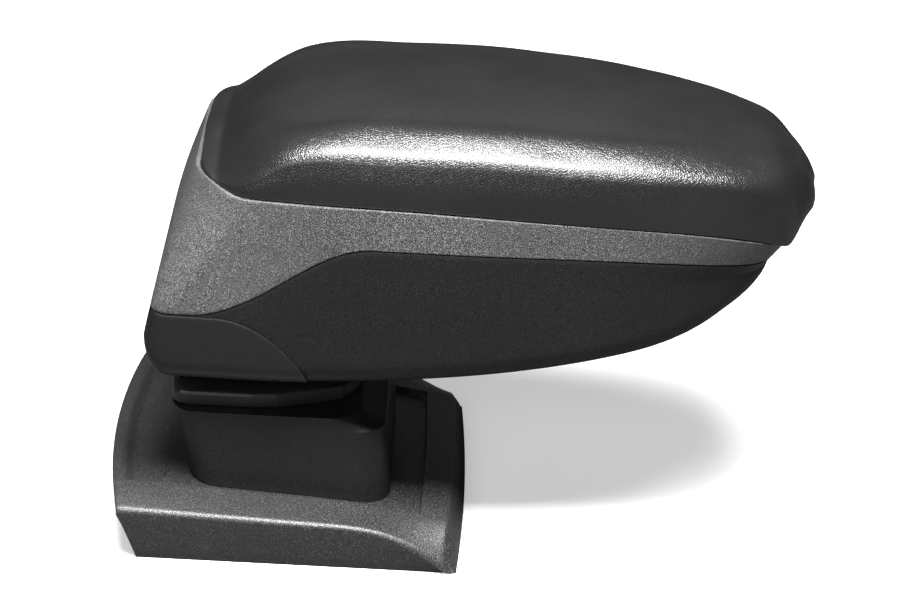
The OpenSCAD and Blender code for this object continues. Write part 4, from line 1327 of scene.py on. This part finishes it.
@dataclass
class Adapter:
    """The wedge-shaped cover with its recess."""

    width: float = 170.0
    rear: float = 96.5
    front: float = 80.5
    height: float = 26.2
    fall: float = 0.055
    rim_side: float = 23.0
    rim_rear: float = 5.5
    rim_front: float = 20.0
    recess: float = 3.8
    wall: float = 3.0
    tuck: float = 9.7
    bow_rear: float = 8.8
    bow_front: float = 2.8
    draft: float = 2.0
    edge_r: float = 2.6

    def rim_z(self, x: Array) -> Array:
        """Height of the rim's inner edge: falls with x, faster in front."""
        return self.height - self.fall * x - 0.0009 * np.maximum(x, 0.0) ** 2

    def edge_z(self, x: Array) -> Array:
        """Height of the outer edge: drops steeply past x 24."""
        return self.height - 1.1 - 0.03 * x - 0.0076 * np.maximum(x - 24.0, 0.0) ** 2

    def rows(self) -> Array:
        """Rows: place, share down the end face, place along the underside's rear edge."""
        rear, front = -self.rear, self.front
        inner = self.front - self.rim_front
        floor = self.rear - self.rim_rear - 5.2
        head = [
            (rear + self.tuck, 1.0, 0.0), (rear + 5.0, 0.5, 0.6), (rear + 1.2, 0.1, 1.0),
            (rear + 0.4, 0.05, 1.5), (rear, 0.03, 2.0), (rear + 0.35, 0.01, 2.5),
            (rear + 1.0, 0.0, 3.0), (rear + 3.0, 0.0, 4.0), (rear + self.rim_rear, 0.0, 5.0),
        ]
        sink = [(rear + self.rim_rear + 5.2 * t, 0.0, 5.0 + 3.0 * t) for t in (0.34, 0.67)]
        flat = [(x, 0.0, 0.0) for x in np.linspace(-floor, inner - 2.8, 44)]
        step = [(inner - d, 0.0, 0.0) for d in (2.5, 2.2, 1.9, 1.4, 1.2, 0.8, 0.6, 0.2)]
        strip = [(x, 0.0, 0.0) for x in np.linspace(inner + 0.2, front - 7.5, 14)]
        nose = [
            (front - 6.3, 0.03, 0.0), (front - 5.5, 0.1, 0.0), (front - 4.0, 0.2, 0.0),
            (front - 2.6, 0.34, 0.0), (front - 1.6, 0.5, 0.0), (front - 0.9, 0.68, 0.0),
            (front, 1.0, 0.0),
        ]
        return np.array(head + sink + flat + step + strip + nose)

    def cols(self) -> Array:
        """Columns: share of the half width and kind of height, right to left."""
        half = self.width / 2.0
        rim, floor = 1.0 - self.rim_side / half, (half - self.rim_side - 1.2) / half
        side = [(1.0, 0.0), (1.0, 0.35), (1.0, 0.7), (1.0, 1.0)]
        turn = np.radians(np.linspace(11.0, 90.0, 8))
        edge = 1.0 - self.edge_r / half * (1.0 - np.cos(turn))
        shelf = [
            (a, 1.0 + (1.0 - a) / (1.0 - rim))
            for a in np.concatenate([edge, np.linspace(edge[-1], rim, 16)[1:]])
        ]
        drop = [(mix(rim, floor, t), 2.0 + t) for t in (0.15, 0.85, 1.0)]
        across = [(float(a), 3.0) for a in np.linspace(floor, 0.0, 26)[1:]]
        right = np.array([(-a, k) for a, k in side + shelf + drop + across])
        left = right[-2::-1] * np.array([-1.0, 1.0])
        return np.concatenate([right, left])

    def top(self, x: Array, kind: Array) -> Array:
        """Height of the upper face: rim, its bent edge, or the sunk recess.

        Args:
            x: places along the adapter.
            kind: kind of each column, up to 1 at the foot, 2 on the rim, 3 in the recess.

        Returns:
            Heights over the floor.
        """
        rim = self.rim_z(x)
        edge = np.minimum(self.edge_z(x), rim)
        inner = self.front - self.rim_front
        floor_rear = -(self.rear - self.rim_rear - 5.2)
        sink = smooth((x - floor_rear + 5.2) / 5.2) * (1.0 - smooth((x - inner + 1.4) / 0.8))
        down = self.recess * sink * clamp(kind - 2.0, 0.0, 1.0)
        return mix(rim, edge, clamp(2.0 - kind, 0.0, 1.0) ** 1.7) - down

    def faces(self) -> tuple[Array, Array]:
        """Grids of the outer and inner face, in millimetres."""
        half = self.width / 2.0
        rows, cols = self.rows(), self.cols()
        x, low, foot = (rows[:, i][:, None] for i in range(3))
        share, kind = cols[:, 0][None, :], cols[:, 1][None, :]
        bow = np.where(
            x < 0.0, self.bow_rear * share**2 * smooth(-x / self.rear),
            -self.bow_front * share**2 * smooth(x / self.front),
        )
        under = kind < 1.0
        deep = np.where(under, 1.0 - kind * (1.0 - low), low)
        shift = np.where(under & (foot > 0.0), -self.rear + self.tuck + foot, x)
        place = np.where(under, mix(shift, x, kind), x)
        top = self.top(clamp(x, -self.rear, self.front - 3.0), np.maximum(kind, 1.0))
        over = clamp((np.abs(share) - 1.0) * half / self.edge_r + 1.0, 0.0, 1.0)
        top = top - np.minimum(self.edge_r, 0.6 * top) * circle_inset(1.0 - over)
        z = np.maximum(top * (1.0 - deep), 0.0)
        tuck_in = np.where(
            under, mix(self.draft, (self.draft + 0.6) * low, kind), (self.draft + 0.6) * low
        )
        y = share * half - np.sign(share) * tuck_in * np.where(under, 1.0, np.abs(share))
        outer = np.stack([place + bow, y, z], -1)
        inner_x, floor_x = self.front - self.rim_front, self.rear - self.rim_rear - 5.2
        wx = np.maximum(low, np.where(
            x < 0.0, smooth((-x - floor_x) / (self.rear - floor_x)),
            smooth((x - inner_x) / (self.front - inner_x - 2.0)),
        ))
        wy = smooth((np.abs(y) - half + self.rim_side) / (self.rim_side - 3.0))
        inner = np.stack([
            outer[..., 0] - np.sign(x) * self.wall * wx,
            y - np.sign(share) * self.wall * wy,
            np.where(z < 2.0 * self.wall, z / 2.0, z - self.wall),
        ], -1)
        return outer, inner


@dataclass
class Post:
    """The post's outline, level by level."""

    height: float = 65.0
    width: float = 104.0
    rear: float = 65.5
    front: float = 43.0
    radius: float = 14.0
    seat: float = 14.0
    wall: float = 3.0
    ledge: float = 4.0

    def ring(self, z: float, grow: float = 0.0, steps: int = 12) -> Array:
        """Outline at a height, wider at the foot and cut back over the shoulder.

        Args:
            z: height, in millimetres.
            grow: how much larger than the outer face.
            steps: points round a corner.

        Returns:
            Points by 3 array.
        """
        shoulder = self.height - 7.2
        if z < shoulder:
            fore = self.front - 3.5 * ((z - self.seat) / (shoulder - self.seat)) ** 2
        else:
            fore = self.front - 3.5 - 12.5 * (max(z - shoulder, 0.0) / 7.2) ** 0.85
        x0 = -self.rear + (self.height - z) * 0.26 - grow
        x1 = fore + grow
        h = self.width / 2.0 + (self.height - z) * 0.047 + grow
        r = self.radius + grow
        points = []
        for q, (sx, sy) in enumerate(((1, 1), (-1, 1), (-1, -1), (1, -1))):
            b = np.radians(q * 90.0 + np.linspace(0.0, 90.0, steps))
            rx = r * 1.25 if sx > 0 else r
            cx = x1 - r * 1.25 if sx > 0 else x0 + r
            points.append(np.stack([cx + rx * np.cos(b), sy * (h - r) + r * np.sin(b),
                                    np.full(steps, z)], -1))
        return np.concatenate(points)

    def build(self) -> bpy.types.Object:
        """Builds the hollow post with its screw bosses.

        Returns:
            The finished piece.
        """
        shoulder = self.height - 7.2
        levels = np.concatenate([
            np.linspace(self.seat, shoulder, 12), shoulder + 7.2 * np.linspace(0.04, 1.0, 12)
        ])
        post = loft("post_moulding", np.stack([self.ring(z) for z in levels]), POST_PLASTIC)
        hollow = np.stack([
            self.ring(z, -self.wall) for z in np.linspace(self.seat, self.height - self.ledge, 10)
        ])
        hollow[0, :, 2] -= 1.0
        carve(post, [loft("hollow", hollow, LINER)])
        finish_edges(post, 0.8, sharp=40.0, steps=3)
        parts = [
            rod_tool((x, y, self.seat), (0.0, 0.0, tall), 5.5)
            for x, tall in ((-44.0, 48.0), (26.0, 42.0)) for y in (-45.0, 45.0)
        ]
        join(post, parts)
        return settle(post, Body.BASE, "moulded", "post")


@dataclass
class BaseUnit:
    """The adapter's cover and the post that stands in it."""

    adapter: Adapter = field(default_factory=Adapter)
    post: Post = field(default_factory=Post)

    def build(self) -> list[bpy.types.Object]:
        """Builds the cover, cuts the post's opening and builds the post.

        Returns:
            The finished pieces.
        """
        cover = skin("adapter_cover", *self.adapter.faces(), BASE_PLASTIC)
        opening = np.stack([self.post.ring(8.0, 0.4), self.post.ring(45.0, 0.4)])
        carve(cover, [loft("opening", opening, LINER)])
        finish_edges(cover, 0.7, sharp=38.0, steps=3)
        return [settle(cover, Body.BASE, "moulded", "base_housing"), self.post.build()]


# ---- pieces that keep their CAD form


@dataclass(frozen=True)
class CadDress:
    """Finish and slot of CAD nodes that are shown as they are.

    Args:
        finish: finish of the nodes.
        slot: not used.
        sharp: angle in degrees above which an edge stays sharp.
        nodes: names of the nodes.
    """

    finish: Finish
    slot: str
    sharp: float
    nodes: tuple[str, ...]

    def wear(self, found: dict[str, bpy.types.Object]) -> None:
        """Gives each node its material and smooth shading.

        Args:
            found: the frame's objects by node name.
        """
        for name in self.nodes:
            obj = found[name]
            obj.data.materials.clear()
            obj.data.materials.append(self.finish.material())
            obj.data.polygons.foreach_set(
                "use_smooth", np.ones(len(obj.data.polygons), dtype=bool)
            )
            obj.data.set_sharp_from_angle(angle=math.radians(self.sharp))
            LOG.info("%s: dressed in %s", name, self.finish.name)


DRESSES = (
    CadDress(CAST, "cast", 28.0, ("tilt_foot",)),
    CadDress(STEEL, "steel", 28.0, (
        "seat_tray", "post_bracket", "post_screws", "bracket_bolts", "foot_bolts", "tilt_axle",
        "axle_nut", "hinge_bracket", "friction_washers", "bracket_screws", "bin_screws",
        "catch_plate", "lid_hinge_pin", "board_screws",
    )),
    CadDress(RUBBER, "rubber", 28.0, ("stop_pad", "bin_mat", "lid_buffers")),
    CadDress(LINER, "liner", 28.0, ("storage_bin", "bush_left", "bush_right", "lid_catch")),
    CadDress(BOARD, "board", 28.0, ("cushion_board",)),
)


# ---- studio


@dataclass
class Studio:
    """Pale floor, soft lights and the camera of the photograph.

    Args:
        azimuth: turn of the camera about the vertical, in degrees.
        elevation: height of the camera over the level, in degrees.
        roll: clockwise roll of the camera, in degrees.
        lens: focal length, in millimetres.
        distance: distance from the point looked at, in millimetres.
        look: point looked at, in millimetres.
    """

    azimuth: float = -0.45
    elevation: float = 27.4
    roll: float = 3.19
    lens: float = 115.2
    distance: float = 1458.5
    look: tuple[float, float, float] = (73.0, 0.0, 103.2)

    def camera(self) -> bpy.types.Object:
        """Camera at the photograph's place, from its angles and distance.

        Returns:
            The camera object.
        """
        az, el, roll = (math.radians(v) for v in (self.azimuth, self.elevation, self.roll))
        back = Vector((math.sin(az) * math.cos(el), -math.cos(az) * math.cos(el), math.sin(el)))
        right0 = Vector((math.cos(az), math.sin(az), 0.0))
        up0 = back.cross(right0)
        right = math.cos(roll) * right0 + math.sin(roll) * up0
        up = -math.sin(roll) * right0 + math.cos(roll) * up0
        data = bpy.data.cameras.new("photo_camera")
        data.lens, data.sensor_width = self.lens, 36.0
        data.clip_start, data.clip_end = 0.05, 50.0
        cam = bpy.data.objects.new("photo_camera", data)
        turn = Matrix((right, up, back)).transposed().to_4x4()
        cam.matrix_world = Matrix.Translation(
            Vector(self.look) * MM + back * self.distance * MM
        ) @ turn
        bpy.context.scene.collection.objects.link(cam)
        bpy.context.scene.camera = cam
        cam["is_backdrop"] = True
        return cam

    def light(
        self, name: str, place: tuple, aim: tuple, size: tuple[float, float], power: float
    ) -> bpy.types.Object:
        """Soft rectangular light.

        Args:
            name: name of the light.
            place: its place, in metres.
            aim: point that it faces, in metres.
            size: its two sides, in metres.
            power: its power, in watts.

        Returns:
            The light object.
        """
        data = bpy.data.lights.new(name, "AREA")
        data.shape = "RECTANGLE"
        data.size, data.size_y = size
        data.energy = power
        lamp = bpy.data.objects.new(name, data)
        turn = (Vector(place) - Vector(aim)).to_track_quat("Z", "Y")
        lamp.matrix_world = Matrix.Translation(Vector(place)) @ turn.to_matrix().to_4x4()
        bpy.context.scene.collection.objects.link(lamp)
        lamp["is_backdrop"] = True
        return lamp

    def floor(self) -> bpy.types.Object:
        """Large floor: pale to the camera's own rays, dark to every other ray."""
        mesh = bpy.data.meshes.new("studio_floor")
        r = 6.0
        mesh.from_pydata([(-r, -r, 0), (r, -r, 0), (r, r, 0), (-r, r, 0)], [], [(0, 1, 2, 3)])
        mat = bpy.data.materials.new("studio_floor")
        mat.use_nodes = True
        nodes, links = mat.node_tree.nodes, mat.node_tree.links
        shader = nodes["Principled BSDF"]
        shader.inputs["Roughness"].default_value = 1.0
        shader.inputs["Specular IOR Level"].default_value = 0.0
        shader.inputs["Emission Color"].default_value = (1.0, 1.0, 1.0, 1.0)
        path = nodes.new("ShaderNodeLightPath")
        tone = nodes.new("ShaderNodeMix")
        tone.data_type = "RGBA"
        tone.inputs[6].default_value = (0.10, 0.10, 0.10, 1.0)
        tone.inputs[7].default_value = (0.80, 0.80, 0.80, 1.0)
        glow = nodes.new("ShaderNodeMath")
        glow.operation = "MULTIPLY"
        glow.inputs[1].default_value = 0.45
        links.new(path.outputs["Is Camera Ray"], tone.inputs["Factor"])
        links.new(path.outputs["Is Camera Ray"], glow.inputs[0])
        links.new(tone.outputs[2], shader.inputs["Base Color"])
        links.new(glow.outputs[0], shader.inputs["Emission Strength"])
        mesh.materials.append(mat)
        obj = bpy.data.objects.new("studio_floor", mesh)
        bpy.context.scene.collection.objects.link(obj)
        obj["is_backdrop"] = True
        return obj

    def world(self) -> None:
        """Surround: white to the camera, dim to everything else."""
        world = bpy.data.worlds.new("studio_world")
        world.use_nodes = True
        bpy.context.scene.world = world
        nodes, links = world.node_tree.nodes, world.node_tree.links
        back = nodes["Background"]
        path = nodes.new("ShaderNodeLightPath")
        tone = nodes.new("ShaderNodeMapRange")
        tone.inputs[3].default_value = 0.06
        tone.inputs[4].default_value = 1.0
        links.new(path.outputs["Is Camera Ray"], tone.inputs[0])
        links.new(tone.outputs[0], back.inputs["Strength"])
        back.inputs["Color"].default_value = (1.0, 1.0, 1.0, 1.0)

    def build(self) -> None:
        """Sets up view, world, floor, lights and camera."""
        bpy.context.scene.view_settings.view_transform = "Standard"
        self.world()
        self.floor()
        self.light("key", (0.10, -0.33, 1.05), (0.07, 0.0, 0.2), (0.58, 0.36), 42.0)
        self.light("top_fill", (-0.2, 0.7, 1.1), (0.0, 0.0, 0.12), (1.2, 0.8), 0.6)
        self.light("near_fill", (-0.45, -1.3, 0.80), (0.0, 0.0, 0.08), (0.7, 0.3), 6.0)
        self.camera()


def main(frame: dict, cad_box: tuple) -> None:
    """Builds the sub-assemblies in order, from the base up.

    Args:
        cad_box: not used.
    """
    logging.basicConfig(level=logging.INFO, format="%(name)s: %(message)s")
    for dress in DRESSES:
        dress.wear(frame["nodes"])
    BaseUnit().build()
    LowerShell().build()
    SideCaps().build()
    Hood().build()
    Cushion().build()
    Studio().build()


if __name__ == "__main__":
    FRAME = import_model()
    main(FRAME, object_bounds())
